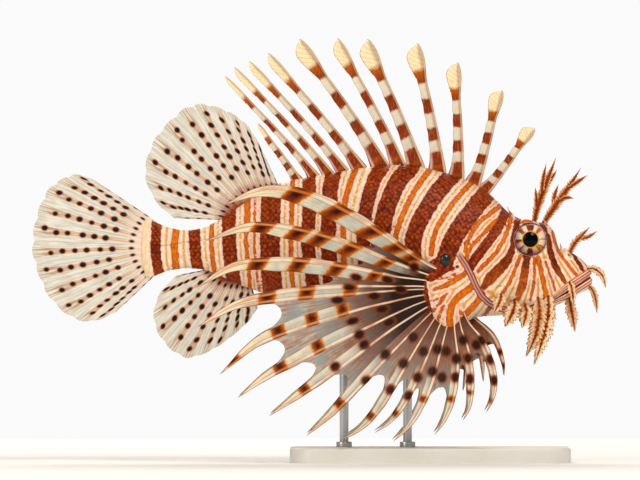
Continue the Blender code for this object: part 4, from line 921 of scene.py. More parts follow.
frondPaint = frondMaterial()
for name, key, side, tone, replaced in (
        ("browFringeRight", "browRight", 1, 0.1, ("brow_tentacle_right",)),
        ("browFringeLeft", "browLeft", 1, 0.1, ("brow_tentacle_left",)),
        ("nasalFringeRight", "nasal", 1, 0.2, ("nasal_tentacle_right",)),
        ("nasalFringeLeft", "nasal", -1, 0.2, ("nasal_tentacle_left",)),
        ("cheekFringeFrontRight", "barbelFront", 1, 1.0, ("cheek_barbel_front_right",)),
        ("cheekFringeFrontLeft", "barbelFront", -1, 1.0, ("cheek_barbel_front_left",)),
        ("cheekFringeRearRight", "barbelRear", 1, 0.6, ("cheek_barbel_rear_right",)),
        ("cheekFringeRearLeft", "barbelRear", -1, 0.6, ("cheek_barbel_rear_left",)),
        ("headFlapsRight", "headFlaps", 1, 0.8, ()), ("headFlapsLeft", "headFlaps", -1, 0.8, ()),
        ("jawFlapsRight", "jawFlaps", 1, 0.5, ()), ("jawFlapsLeft", "jawFlaps", -1, 0.5, ())):
    fronds = [makeFrond(name, points, widest, side, tone) for points, widest in fringes[key]]
    dress(joinPieces(name, fronds), frondPaint, replaced)
print("fringes made")


# bony points of the head: root, tip, root radius
bonyPoints = (
    ((44.6, -6.0, 130.6), (41.2, -7.0, 137.2), 1.5), ((36.0, -7.0, 135.6), (31.0, -8.2, 140.6), 1.3),
    ((42.0, -17.6, 96.0), (35.0, -21.4, 94.0), 1.5), ((46.6, -16.0, 89.6), (40.6, -19.6, 85.4), 1.4),
    ((52.0, -17.2, 97.2), (48.6, -19.4, 96.4), 0.9), ((57.0, -16.0, 98.6), (53.8, -18.2, 98.0), 0.8),
    ((61.5, -14.6, 100.0), (58.6, -16.8, 99.6), 0.8), ((62.6, -7.6, 127.0), (60.4, -8.4, 130.6), 0.9),
    ((70.4, -4.4, 114.4), (69.6, -5.2, 117.6), 0.8),
)
bonySink = 2.0


def makeBonyPoints():
    made = []
    for side in (1, -1):
        for root, tip, radius in bonyPoints:
            root, tip = np.array(root) * (1, side, 1), np.array(tip) * (1, side, 1)
            long = unit(tip - root)
            first = unit(np.cross(long, (0, 0, 1.0)))
            second = np.cross(long, first)
            start = root - bonySink * long
            bpy.ops.mesh.primitive_cone_add(vertices=14, radius1=1, radius2=0, depth=1, end_fill_type="NGON")
            made.append(shapeIt(lambda at: start + (at[:, 2:] + 0.5) * (tip - start)
                                + radius * (at[:, :1] * first + at[:, 1:2] * second)))
    return joinPieces("bonyPoints", made, 60)


# painted bone under a thin gloss
bonePaint = mottled("paintedBone", 2.5, ((0.35, "#B06A45"), (0.6, "#EBD2B2")), Roughness=0.35,
                    Coat_Weight=0.25)
dress(makeBonyPoints(), bonePaint)

# the glossy bead behind the gill cover, just above the pectoral fin
bead = {"place": (445, 259.8), "reach": (2.9, 1.7, 3.5), "sink": 0.4}
# black glass: nearly black with a green depth, and a small sharp highlight
beadPaint = mottled("glossyBlackGlass", 2.0, ((0.35, "#070D0B"), (0.65, "#16231E")), Roughness=0.15,
                    Specular_IOR_Level=0.3, Coat_Weight=0.3, Coat_Roughness=0.05)
beadX, beadZ = fromPicture(bead["place"])
beadLevel = skinLevel([beadX], [beadZ])[0] - bead["sink"]
for word, side in (("Right", -1), ("Left", 1)):
    bpy.ops.mesh.primitive_uv_sphere_add(segments=32, ring_count=20, radius=1)
    drop = shapeIt(lambda at: at * bead["reach"] + (beadX, side * beadLevel, beadZ))
    dress(joinPieces("axilBead" + word, [drop], 80), beadPaint)
print("small head pieces made")


# fins that open as fans of free-tipped rays
pectoral = {
    "rays": (
        (((12.0, 98.5), (-6.0, 106.6), (-27.0, 120.0), (-41.0, 128.8), (-62.0, 139.6), (-80.0, 144.6),
          (-94.0, 144.0), (-109.8, 137.7)), 5.2, 0.325),
        (((9.0, 97.0), (-4.0, 100.2), (-20.0, 105.3), (-38.0, 112.3), (-57.0, 118.8), (-75.0, 123.2),
          (-97.0, 125.7), (-120.0, 118.5)), 4.3, 0.335),
        (((7.0, 95.0), (-4.0, 96.9), (-20.0, 98.2), (-45.0, 102.4), (-64.0, 105.2), (-82.0, 106.2),
          (-105.0, 104.6), (-125.4, 93.3)), 4.2, 0.43),
        (((5.0, 92.5), (-6.0, 93.4), (-26.0, 92.9), (-50.0, 91.8), (-68.0, 90.5), (-84.0, 88.5),
          (-104.0, 84.2), (-124.8, 72.4)), 3.9, 0.65),
        (((4.0, 90.5), (-6.0, 90.2), (-22.0, 87.4), (-38.0, 84.0), (-57.0, 78.4), (-72.0, 73.6),
          (-93.0, 64.2), (-112.5, 47.2)), 3.9, 0.7),
        (((3.5, 88.0), (-5.0, 86.4), (-18.0, 81.4), (-43.0, 70.2), (-60.0, 62.0), (-73.0, 54.9),
          (-88.0, 46.2), (-102.9, 34.9)), 3.8, 0.65),
        (((4.0, 86.0), (-4.0, 82.9), (-22.0, 72.2), (-38.0, 60.8), (-53.0, 49.6), (-68.0, 38.4),
          (-86.2, 25.2)), 3.5, 0.6),
        (((5.0, 84.0), (-1.5, 79.4), (-14.0, 67.6), (-27.0, 54.6), (-41.0, 39.6), (-53.0, 26.6),
          (-66.4, 14.5)), 3.1, 0.505),
        (((6.5, 83.0), (1.0, 76.4), (-8.0, 62.8), (-17.5, 47.0), (-26.5, 31.4), (-36.0, 19.8),
          (-48.2, 11.9)), 2.6, 0.51),
        (((8.5, 82.0), (4.4, 73.6), (-1.5, 60.0), (-8.2, 44.6), (-14.6, 31.2), (-21.5, 22.4),
          (-30.0, 16.1)), 2.2, 0.575),
        (((10.5, 81.5), (7.8, 71.4), (4.0, 58.6), (0.2, 44.8), (-4.6, 32.2), (-11.0, 20.8),
          (-20.4, 11.1)), 2.4, 0.565),
        (((12.5, 81.5), (12.2, 70.4), (13.4, 56.6), (12.8, 44.6), (10.8, 32.6), (7.0, 22.6), (2.1, 15.1)),
         2.4, 0.45),
        (((14.5, 82.0), (15.8, 71.8), (19.6, 58.6), (21.4, 46.0), (21.4, 36.0), (20.2, 28.6), (17.1, 22.6)),
         2.2, 0.42),
        (((16.5, 83.0), (20.2, 74.2), (27.4, 64.8), (32.0, 54.0), (34.2, 43.0), (33.0, 34.0), (29.5, 26.9)),
         2.0, 0.0)),
    "hub": (8.0, 88.0), "out": 13.5, "flare": 0.50, "curl": 0.0011, "notch": (5.0, 13.0),
    "rows": 120, "columns": 11,
    "upperRibs": 4, "twoRibs": 3, "upperWebs": 7, "ribAside": 0.55, "ribHalf": 0.62, "skinHalf": 0.2,
    "patches": (
        ((295.7, 196.4), (335.9, 211), (372, 231), (396, 246), (410.6, 257)),
        ((262.7, 228), (298, 233), (321, 238), (351, 246.2), (385.7, 257.7)),
        ((258.4, 264), (298, 264), (335.9, 268.3), (376, 268)),
        ((267.4, 297.3), (307.2, 292), (350, 287)),
        ((231.7, 356.5), (277.6, 330), (312.3, 317.8), (341.9, 310.6)),
        ((278.7, 365.7), (317.4, 345.3)),
        ((304.2, 388.2),), ((342.9, 406),), ((371, 415),), ((396, 414),), ((423, 399),), ((452.5, 399),),
        ((472, 392),), ((491.5, 401),)),
    "patchHalf": (6.2, 5.6, 5.2, 5.2, 4.4, 4.2, 3.6, 3.6, 3.0, 2.6, 2.6, 2.4, 2.0, 2.0),
    "patchLean": (0.75, 0.75, 0.6, 0.3, 0.1, 0.1, 0.0, 0.0, 0.0, 0.0, 0.0, 0.0, 0.0, 0.0),
    "bladeFrom": (0.10, 0.16, 0.24, 0.36, 0.42, 0.42, 0.46, 0.46, 0.46, 0.48, 0.5, 0.46, 0.42, 0.40),
    "spots": ((356, 277), (387, 279.5), (337.5, 299.8), (374.2, 296), (400, 289), (352.5, 320.8), (389, 322),
              (382, 309), (349, 287), (414, 267), (335, 366), (359, 334), (364, 344.5), (385, 354),
              (366, 380), (413, 337), (403, 363), (390, 389), (423, 351), (437, 349), (417, 377), (432, 371),
              (408, 395), (446, 351), (441.5, 377), (456, 358.5), (455, 377), (467.5, 358), (469, 378.5),
              (476, 344.5), (463, 340), (490, 359), (493.6, 380), (482, 340), (497, 346)),
    "spotRadius": 2.7, "ovals": 9,
}
pelvic = {
    "rays": (
        (((19.0, 81.0), (25.0, 76.0), (32.6, 69.0), (36.6, 61.6), (39.2, 52.6), (39.6, 46.1)), 1.5, 0.55),
        (((17.0, 81.0), (21.4, 74.6), (25.6, 65.0), (27.8, 55.0), (28.6, 42.9)), 1.5, 0.66),
        (((15.5, 81.0), (17.6, 73.6), (19.4, 63.0), (19.4, 50.0), (17.6, 38.0)), 1.5, 0.72),
        (((14.0, 81.0), (13.8, 73.0), (12.4, 62.0), (9.6, 50.0), (5.4, 39.4)), 1.4, 0.74),
        (((12.5, 81.0), (10.2, 73.6), (6.2, 63.6), (1.0, 54.0), (-5.4, 45.4)), 1.3, 0.72),
        (((11.0, 81.0), (6.8, 75.0), (0.6, 67.6), (-6.0, 60.6), (-12.6, 55.0)), 1.2, 0.0)),
    "hub": (15.0, 80.0), "out": 4.6, "flare": 0.30, "curl": 0.0, "notch": (1.5, 3.0),
    "rows": 70, "columns": 9,
    "upperRibs": 0, "twoRibs": 3, "upperWebs": 7, "ribAside": 0.0, "ribHalf": 0.5, "skinHalf": 0.18,
    "patches": ((),) * 6, "patchHalf": (1.5,) * 6, "patchLean": (0.0,) * 6, "bladeFrom": (0.5,) * 6,
    "spots": ((504, 366), (500, 352), (488, 345), (479, 352), (486, 360), (466, 352), (470, 366), (452, 340),
              (458, 358), (440, 336), (447, 350), (430, 330)),
    "spotRadius": 1.7, "ovals": 0,
}

# webs between the rays: how far out on a ray's width they start, where their notch is deepest
webShape = {"aside": 0.85, "deepest": 0.42, "columns": 21, "marginHalf": 0.01, "rayShare": 0.42}


def spotField(flat, fin):
    # distance past the rim of the nearest spot; the first spots are drawn out along their rays
    best = np.full(flat.shape[:2], 9.0)
    for k, place in enumerate(fromPicture(fin["spots"])):
        long, wide = (1.3, 1.35) if k < fin["ovals"] else (1.08, 1.0)
        outX, outZ = unit(place - fin["hub"])
        x, z = np.moveaxis(flat - place, -1, 0)
        away = np.hypot((x * outX + z * outZ) / long, (x * outZ - z * outX) * wide)
        best = np.minimum(best, away - fin["spotRadius"])
    return best


def finSurface(fin, flat, side):
    # places and outward directions on the flared surface that a paired fin lies in
    def depth(x, z):
        away = np.hypot(x - fin["hub"][0], z - fin["hub"][1])
        return -(fin["out"] + fin["flare"] * away - fin["curl"] * away * away)

    x, z = np.moveaxis(flat, -1, 0)
    y = depth(x, z)
    facing = unit(stacked((depth(x + 0.5, z) - y) / 0.5, -1.0, (depth(x, z + 0.5) - y) / 0.5))
    return stacked(x, side * y, z), facing * (1, side, 1)


def bladeWidth(t, widest):
    rising = widest * (0.35 + 0.65 * np.sin(math.pi * t))
    falling = widest * np.maximum(0.0, 1 - ((t - 0.5) / 0.5) ** 2.0)
    return np.where(t < 0.5, rising, falling)


def rayEdges(fin):
    # each ray's path, its direction to the next ray, and its width to either side
    rows = fin["rows"] + 1
    paths = [smoothPath(points, rows) for points, _, _ in fin["rays"]]
    edges = []
    for j, (_, widest, _) in enumerate(fin["rays"]):
        run = unit(np.gradient(paths[j], axis=0))
        square = stacked(-run[:, 1], run[:, 0])
        ahead = paths[j + 1] - paths[j] if j + 1 < len(paths) else paths[j] - paths[j - 1]
        square *= np.sign(np.sum(square * ahead, axis=1))[:, None]
        widths = [bladeWidth(np.linspace(0, 1, rows), widest)] * 2
        for k, other in enumerate((j - 1, j + 1)):
            if 0 <= other < len(paths):
                gap = np.linalg.norm(paths[other] - paths[j], axis=1)
                widths[k] = np.minimum(widths[k], webShape["rayShare"] * gap)
        edges.append((paths[j], square, *widths))
    return edges


def makeBlade(name, fin, side, j, path, square, before, after):
    # a free-tipped ray with its rib, its dark patches and their cores
    t = np.linspace(0, 1, len(path))[:, None]
    spread = np.linspace(-1, 1, fin["columns"])
    spread = np.sign(spread) * np.abs(spread) ** 0.85
    broad = np.maximum(before, after)[:, None]
    width = spread * np.where(spread < 0, before[:, None], after[:, None])
    ripple = 1 + 0.035 * np.sin(t * 47 + j) * np.abs(spread) ** 3
    flat = path[:, None] + square[:, None] * (width * ripple)[..., None]
    rib = -fin["ribAside"] if j < fin["upperRibs"] else fin["ribAside"]
    away = np.abs(spread - rib) * broad
    if j == fin["twoRibs"]:
        away = np.minimum(away, np.abs(spread + rib) * broad)
    ridge = bell(away, 0.36 + 0.3 * smoothStep(t, 0.12, 0.45)) * (1 - 0.4 * t)
    half = fin["skinHalf"] * (1 - 0.5 * t) + fin["ribHalf"] * ridge + 0.05 * np.cos(spread * 14) * (1 - t)
    half = np.clip(half * (1 - np.abs(spread) ** 10), 0, None) * np.clip((1 - t) / 0.03, 0, 1)
    run = runOf(path)
    patch, core = np.full((2,) + half.shape, 9.0)
    for spot in fin["patches"][j]:
        near = np.argmin(np.hypot(*(path - fromPicture(spot)).T))
        along = run[:, None] - run[near] - fin["patchLean"][j] * width
        # patches shrink toward the hub, and the dark core sits a little above the middle
        size = fin["patchHalf"][j] * min(1.0, 0.45 + 0.55 * run[near] / 110)
        patch = np.minimum(patch, np.abs(along) - size)
        core = np.minimum(core, np.hypot(along / 1.1, width * 0.95 + 0.4) - 0.34 * size)
    outward = np.linalg.norm(flat - fin["hub"], axis=-1)
    webbed = 1 - smoothStep(t, fin["bladeFrom"][j] - 0.08, fin["bladeFrom"][j] + 0.06)
    marks = {"finMarks": stacked(np.clip(patch, -9, 9), spotField(flat, fin), ridge),
             "finPlace": stacked(outward, webbed, (1 - np.abs(spread)) * broad),
             "finCore": stacked(np.clip(core, -9, 9), spread, float(j < fin["upperWebs"]))}
    unwrap = stacked(run[:, None] / 200, width / 200 + 0.05 * j)
    return addShell(name, *finSurface(fin, flat, side), half, marks, unwrap)


def makeWeb(name, fin, side, j, upper, lower):
    # the margin is a round notch, deepest a little nearer the upper ray and drawn out along the lower one
    web = 0.5 - 0.5 * np.cos(np.linspace(0, math.pi, webShape["columns"]))
    deepest = webShape["deepest"]
    aside = np.where(web < deepest, (deepest - web) / deepest, (web - deepest) / (1 - deepest))
    drawn = np.where(web < deepest, *fin["notch"]) / runOf(upper[0])[-1]
    end = fin["rays"][j][2]
    margin = end + drawn * (1 - np.sqrt(1 - np.clip(aside, 0, 1) ** 2))
    reach = np.linspace(0, 1, int(fin["rows"] * end))[:, None] * margin
    t = np.linspace(0, 1, len(upper[0]))
    first = readAt(reach, t, upper[0] + webShape["aside"] * upper[1] * upper[3][:, None])
    second = readAt(reach, t, lower[0] - webShape["aside"] * lower[1] * lower[2][:, None])
    flat = first * (1 - web)[:, None] + second * web[:, None]
    folds = 1 + 0.25 * np.cos(web * 19)
    half = fin["skinHalf"] * 0.75 * folds * (1 - np.abs(2 * web - 1) ** 12) + 0 * reach
    half[-1] = webShape["marginHalf"]
    marks = {"finMarks": stacked(9.0, spotField(flat, fin), 0.0),
             "finPlace": stacked(np.linalg.norm(flat - fin["hub"], axis=-1), 1.0, 9.0),
             "finCore": stacked(9.0, 0 * reach, float(j < fin["upperWebs"]))}
    unwrap = stacked(reach * 0.6, (web - 0.5) * 0.04 + 0.05 * j + 0.025)
    return addShell(name, *finSurface(fin, flat, side), half, marks, unwrap)


def makeFan(name, fin, side):
    edges = rayEdges(fin)
    made = [makeBlade(name, fin, side, j, *edge) for j, edge in enumerate(edges)]
    made += [makeWeb(name, fin, side, j, *pair) for j, pair in enumerate(zip(edges, edges[1:]))]
    return joinPieces(name, made)


def fanMaterial(name, tones):
    # painted fin of thin cast resin: matt skin, drawn streaks along each ray
    material, tree, surface, place = startMaterial(name, Roughness=0.48, Specular_IOR_Level=0.12)
    patch, spot, rib = fields(tree, "finMarks")
    out, webbed, rim = fields(tree, "finPlace")
    core, across, upper = fields(tree, "finCore")
    streak = lumps(tree, place.node.outputs["UV"], 1000, 3.0, 0.5, (1 / 16, 1 / 230, 1))
    cloud = lumps(tree, place, 12.0)
    patches = lumps(tree, place, 5.0, 3.0)
    fray = shaken(tree, 0.0, (streak, 0.9), (lumps(tree, place, 1.6, 3.0), 1.9))
    # blade: brown-grey near the hub, pale grey in the middle, cream at the free tip
    blade = layered(tree, tones["near"], (tones["middle"], (out, 18.0, 48.0)),
                    (tones["far"], (summed(tree, out, (cloud, 30.0)), 84.0, 124.0)),
                    ("#AE9A84", (streak, 0.40, 0.68, 0.0, 0.42)),
                    ("#A3ABA6", (patches, 0.44, 0.60, 0.0, 0.55), (out, 118.0, 84.0)),
                    # painted highlight: the upper side of each blade painted a paler cream, where light from
                    # above falls on it
                    ("#FBEBCB", (across, -0.15, -0.5, 0.0, 0.35)))
    # web: grey with pink, brown and blue-grey clouds; the dark of the hub reaches further in the upper webs
    hub = layered(tree, tones["lowerHub"], (tones["upperHub"], (upper,)))
    reach = summed(tree, out, (fray, 2.5), (upper, -tones["upperReach"]))
    inner, middle, outer = tones["reaches"]
    web = layered(tree, tones["webShade"], (tones["web"], (streak, 0.36, 0.64)),
                  ("#A9705E", (patches, 0.46, 0.62, 0.0, 0.5)), ("#8E9A9A", (cloud, 0.44, 0.57, 0.0, 0.72)),
                  ("#7A4A34", (reach, middle, outer, 0.7, 0.0)), (hub, (reach, inner, middle, 0.95, 0.0)))
    # patches across the blade: orange rim, brown field, a soft near-black core
    patch, core = summed(tree, patch, (fray, 1.0)), summed(tree, core, (fray, 1.0))
    brown = graded(tree, patch, -4.2, 0.6, (
        (0.0, "#7A2A0A"), (0.45, "#96400E"), (0.75, "#BC6215"), (1.0, "#DE963F")))
    # the bony ray: cream with rust flecks, kept a little darker inside a patch
    bone = layered(tree, "#F5DCC4", ("#D88E66", (cloud, 0.46, 0.66, 0.0, 0.7)),
                   ("#C8702A", (patch, -0.6, 0.6, 0.75, 0.0)))
    # round spots with a warm halo, then painted shade: a thin dark line along the edges where the blade is
    # free
    spot = summed(tree, spot, (fray, 0.45))
    halo = layered(tree, "#B4541C", ("#7A3F22", (webbed,)))
    finish(tree, surface, layered(
        tree, blade, (web, (webbed,)), (brown, (patch, -0.7, 1.2, 1.0, 0.0)),
        ("#230B06", (core, -0.9, 1.9, 0.95, 0.0)),
        # painted shade: a thin dark line in the groove along the foot of the rib
        (bone, (rib, 0.2, 0.55, 0.0, 0.92)), ("#6E3A26", (rib, 0.03, 0.12), (rib, 0.16, 0.3, 0.55, 0.0)),
        # painted shade along the free blade's edges
        (halo, (spot, -0.3, 1.2, 0.85, 0.0)), ("#1E0A06", (spot, -1.1, 0.3, 0.97, 0.0)),
        ("#7E4A2A", (rim, 0.18, 0.42, 0.75, 0.0), (webbed, 0.2, 0.7, 1.0, 0.0))), streak, 0.15)
    return material


fanPaint = fanMaterial("paintedFinSkin", {
    "near": "#5A3428", "middle": "#CAC6B8", "far": "#F6E5C2", "web": "#C2B8AA", "webShade": "#948374",
    "upperHub": "#160704", "lowerHub": "#52200E", "reaches": (12.0, 37.0, 58.0), "upperReach": 16.0})
pelvicPaint = fanMaterial("paintedPelvicSkin", {
    "near": "#A8602E", "middle": "#C98A58", "far": "#E0B080", "web": "#B08870", "webShade": "#744630",
    "upperHub": "#5A1E0C", "lowerHub": "#5A1E0C", "reaches": (6.0, 16.0, 34.0), "upperReach": 0.0})
for word, side in (("Right", 1), ("Left", -1)):
    dress(makeFan("pectoralFan" + word, pectoral, side), fanPaint, ("pectoral_fin_" + word.lower(),))
    dress(makeFan("pelvicFan" + word, pelvic, side), pelvicPaint, ("pelvic_fin_" + word.lower(),))
print("paired fins made")


# dorsal spines: base on the back, tip, width of the flag and of the leaf at the tip
dorsalSpines = {
    "each": (
        ((31.6, 143.6), (56.2, 179.0), 5.2, 7.0), ((26.6, 147.6), (38.6, 199.4), 5.8, 7.6),
        ((18.2, 151.7), (14.5, 214.4), 5.8, 8.0), ((8.6, 154.8), (-7.0, 224.5), 6.2, 9.2),
        ((-2.7, 157.4), (-33.7, 226.7), 6.6, 9.4), ((-13.0, 159.4), (-49.8, 227.2), 5.6, 7.2),
        ((-22.0, 159.4), (-70.2, 226.7), 6.2, 8.6), ((-34.0, 157.6), (-86.8, 219.2), 5.0, 5.2),
        ((-43.6, 156.4), (-97.0, 214.9), 4.2, 4.2), ((-51.6, 155.2), (-105.0, 211.7), 3.8, 3.6),
        ((-59.4, 153.6), (-109.8, 206.9), 3.6, 2.6), ((-69.0, 152.0), (-92.1, 181.7), 4.2, 2.2)),
    "bow": 0.015, "sink": 3.0, "boneHalf": 0.8, "boneAside": 0.6, "flagHalf": 0.2, "leafFrom": 0.70,
    "flagColumns": 15, "boneColumns": 7, "rows": 110, "web": 0.13,
}


def flagWidth(t, blade, leaf):
    # a strap that widens at its foot and swells to a pointed leaf near the tip
    strap = blade * (1 - 0.30 * t) + 0.8 * blade * np.exp(-t / 0.13)
    neck = blade * 0.79
    leafFrom = dorsalSpines["leafFrom"]
    u = np.clip((t - leafFrom) / (1 - leafFrom), 0, 1)
    swell = neck + (leaf - neck) * smoothStep(u, 0.0, 0.66)
    tip = leaf * (1 - np.clip((u - 0.66) / 0.34, 0, 1) ** 2.3)
    return np.where(t <= leafFrom, strap, np.maximum(0.3, np.where(u < 0.66, swell, tip)))


def makeDorsalSpines():
    count = dorsalSpines["rows"] + 1
    t = np.linspace(0, 1, count)
    facing = np.broadcast_to(rightward, (count, 3))
    made, borders = [], []
    for j, (base, tip, blade, leaf) in enumerate(dorsalSpines["each"]):
        base, tip = np.array(base), np.array(tip)
        length = np.linalg.norm(tip - base)
        along = (tip - base) / length
        base = base - along * dorsalSpines["sink"]
        # the front edge bows forward, and swells again beside the leaf before it rounds in to the tip
        rounded = np.sqrt(1 - np.clip((t - 0.90) / 0.10, 0, 1) ** 2)
        leafy = smoothStep(t, dorsalSpines["leafFrom"], 0.90) * rounded
        bow = dorsalSpines["bow"] * length * 4 * t * (1 - t) + 0.21 * leaf * leafy
        flat = base + (tip - base) * t[:, None] - np.array([-along[1], along[0]]) * bow[:, None]
        teeth = 0.8 * np.abs(np.mod(t * length / 1.6, 1) - 0.5)
        serrate = np.where(t > 0.76, teeth, 0.12 * np.sin(t * 60 + j))
        flag = (flagWidth(t, blade, leaf) + serrate) * np.clip((1 - t) / 0.02, 0, 1)
        centre = stacked(flat[:, 0], 0.0, flat[:, 1])
        across = np.broadcast_to((-along[1], 0, along[0]), (count, 3))
        borders.append((centre, centre + across * flag[:, None]))
        spread = np.linspace(-1, 1, dorsalSpines["flagColumns"])
        beside = (spread + 1) * 0.5
        half = dorsalSpines["flagHalf"] * (1 + 0.25 * np.cos(spread * 16)) + 0 * t[:, None]
        middle = centre + across * (0.5 * flag)[:, None]
        places = ribbon(middle, across, facing, 0.5 * flag, 0.5 * flag, half, spread)
        places[1:-1, :, 1] += bothFaces(0.45 * np.sin(t * 9 + j)[:, None] * beside**2)
        lot = dice.uniform()
        made.append(addSheet("flag", places, {"spineMarks": closedMarks(stacked(t[:, None], beside, lot))}))
        # the bony spine itself runs up the front edge
        spread = np.linspace(-1, 1, dorsalSpines["boneColumns"])
        radius = dorsalSpines["boneHalf"] * (1 - 0.62 * t) * np.clip((1 - t) / 0.03, 0.05, 1)
        half = radius[:, None] * np.sqrt(1 - np.clip(spread**2, 0, 1)) + 0.001
        middle = centre + across * dorsalSpines["boneAside"]
        places = ribbon(middle, across, facing, radius, radius, half, spread)
        marks = closedMarks(stacked(t[:, None] + 0 * spread, -0.2, lot))
        made.append(addSheet("bone", places, {"spineMarks": marks}))
    # a low web fills the foot of each gap, hollowed to a round notch
    share = 0.5 - 0.5 * np.cos(np.linspace(0, math.pi, 17))
    top = dorsalSpines["web"] * (0.35 + 1.4 * (1 - np.sqrt(1 - (2 * share - 1) ** 2)))
    reach = np.linspace(0, 1, 16)[:, None] * top
    half = dorsalSpines["flagHalf"] * 0.8 * (1 - np.abs(2 * share - 1) ** 12) + 0 * reach
    half[-1] = webShape["marginHalf"]
    for (_, rear), (front, _) in zip(borders, borders[1:]):
        places = readAt(reach, t, rear) * (1 - share)[:, None] + readAt(reach, t, front) * share[:, None]
        marks = {"spineMarks": stacked(reach * 1.2, 0.5, dice.uniform())}
        made.append(addShell("web", places, rightward, half, marks))
    return joinPieces("dorsalSpines", made)


def spineMaterial():
    # painted spines: brown and pale bands across flag and bone, cream veined leaves
    material, tree, surface, place = startMaterial("paintedSpineBands", Roughness=0.45,
                                                   Specular_IOR_Level=0.12)
    along, across, lot = fields(tree, "spineMarks")
    grain = lumps(tree, place, 3.0, 3.0, 0.6)
    fine = lumps(tree, place, 1.3, 3.0, 0.6, (0.6, 1, 3.0))
    bands = graded(tree, shaken(tree, along, (grain, 0.035), (lot, 0.03)), 0.0, 1.0, (
        (0.0, "#5E1A0C"), (0.06, "#7A2A10"), (0.09, "#A8501E"), (0.115, "#7E2A10"), (0.19, "#8A300F"),
        (0.205, "#D8CDB9"), (0.27, "#DCD2BF"), (0.285, "#8C3312"), (0.365, "#7A2A0E"), (0.38, "#DDD3BE"),
        (0.47, "#E0D6C2"), (0.485, "#8A3210"), (0.58, "#7C2A0E"), (0.595, "#DDD2BC"), (0.69, "#E4DAC4"),
        (0.705, "#8C3410"), (0.785, "#B0561C"), (0.815, "#F8E6BE"), (1.0, "#FBEBC8")))
    slant = summed(tree, 0.0, (along, 170.0), (across, -15.3))
    veins = addNode(tree, "ShaderNodeMath", {0: slant}, operation="SINE")
    bands = layered(tree, bands, ("#B9A48C", (fine, 0.46, 0.70, 0.0, 0.3)),
                    ("#C99A5E", (along, 0.80, 0.84), (veins, 0.6, 0.95, 0.0, 0.35)),
                    # painted shade: the flag painted darker beside the bone
                    ("#7E4A38", (across, 0.22, 0.42, 0.5, 0.0)), ("#8E5230", (across, 0.93, 0.99, 0.0, 0.6)),
                    ("#E9C9BA", (across, 0.76, 0.9), (along, 0.30, 0.12), (0.8,)))
    bone = layered(tree, bands, ("#F2CFA8", (along, 0.3, 0.1, 0.45, 0.7)))
    finish(tree, surface, layered(tree, bone, (bands, (across, -0.12, -0.02))), fine, 0.2)
    return material


dress(makeDorsalSpines(), spineMaterial(), ("spiny_dorsal_fin",))
print("dorsal spines made")


# median fins: soft rays on one membrane
medianFins = {
    "softDorsal": {
        "roots": ((-81.6, 149.2), (-112.4, 129.8)),
        "tips": ((-87.2, 161.4), (-92.4, 172.2), (-98.2, 180.8), (-105.6, 186.6), (-114.2, 190.4),
                 (-123.4, 192.0), (-132.2, 189.2), (-140.6, 181.8), (-147.6, 173.0), (-152.0, 162.0),
                 (-152.2, 150.6), (-146.0, 138.6), (-137.0, 130.6)),
        "sink": 3.0, "wave": 1.1, "spots": 6, "replaces": "soft_dorsal_fin"},
    "analFin": {
        "roots": ((-95.0, 92.9), (-121.0, 103.0)),
        "tips": ((-92.2, 82.6), (-97.4, 75.2), (-104.6, 68.6), (-112.6, 62.6), (-121.0, 58.0), (-130.4, 55.8),
                 (-139.0, 60.4), (-145.6, 68.8), (-148.2, 79.4), (-144.6, 90.6), (-136.0, 100.0)),
        "sink": 3.0, "wave": -1.1, "spots": 5, "replaces": "anal_fin"},
    "tailFin": {
        "roots": ((-149.6, 131.0), (-154.6, 115.0), (-148.4, 99.0)),
        "tips": ((-180.6, 151.6), (-189.6, 154.2), (-197.6, 151.6), (-204.6, 146.0), (-209.4, 136.4),
                 (-212.4, 125.0), (-213.0, 112.4), (-210.0, 101.0), (-205.2, 90.2), (-197.0, 80.8),
                 (-187.0, 75.6), (-177.0, 76.4), (-168.0, 80.6)),
        "sink": 2.5, "wave": 1.1, "spots": 6, "replaces": "caudal_fin"},
}
medianShape = {"perRay": 12, "rows": 80, "skinHalf": 0.2, "rayHalf": 0.42, "rayWidth": 0.62, "scallop": 0.02,
               "branch": (0.5, 0.17), "twig": (0.72, 0.08),
               "spotLong": 1.6, "spotWide": 1.45}


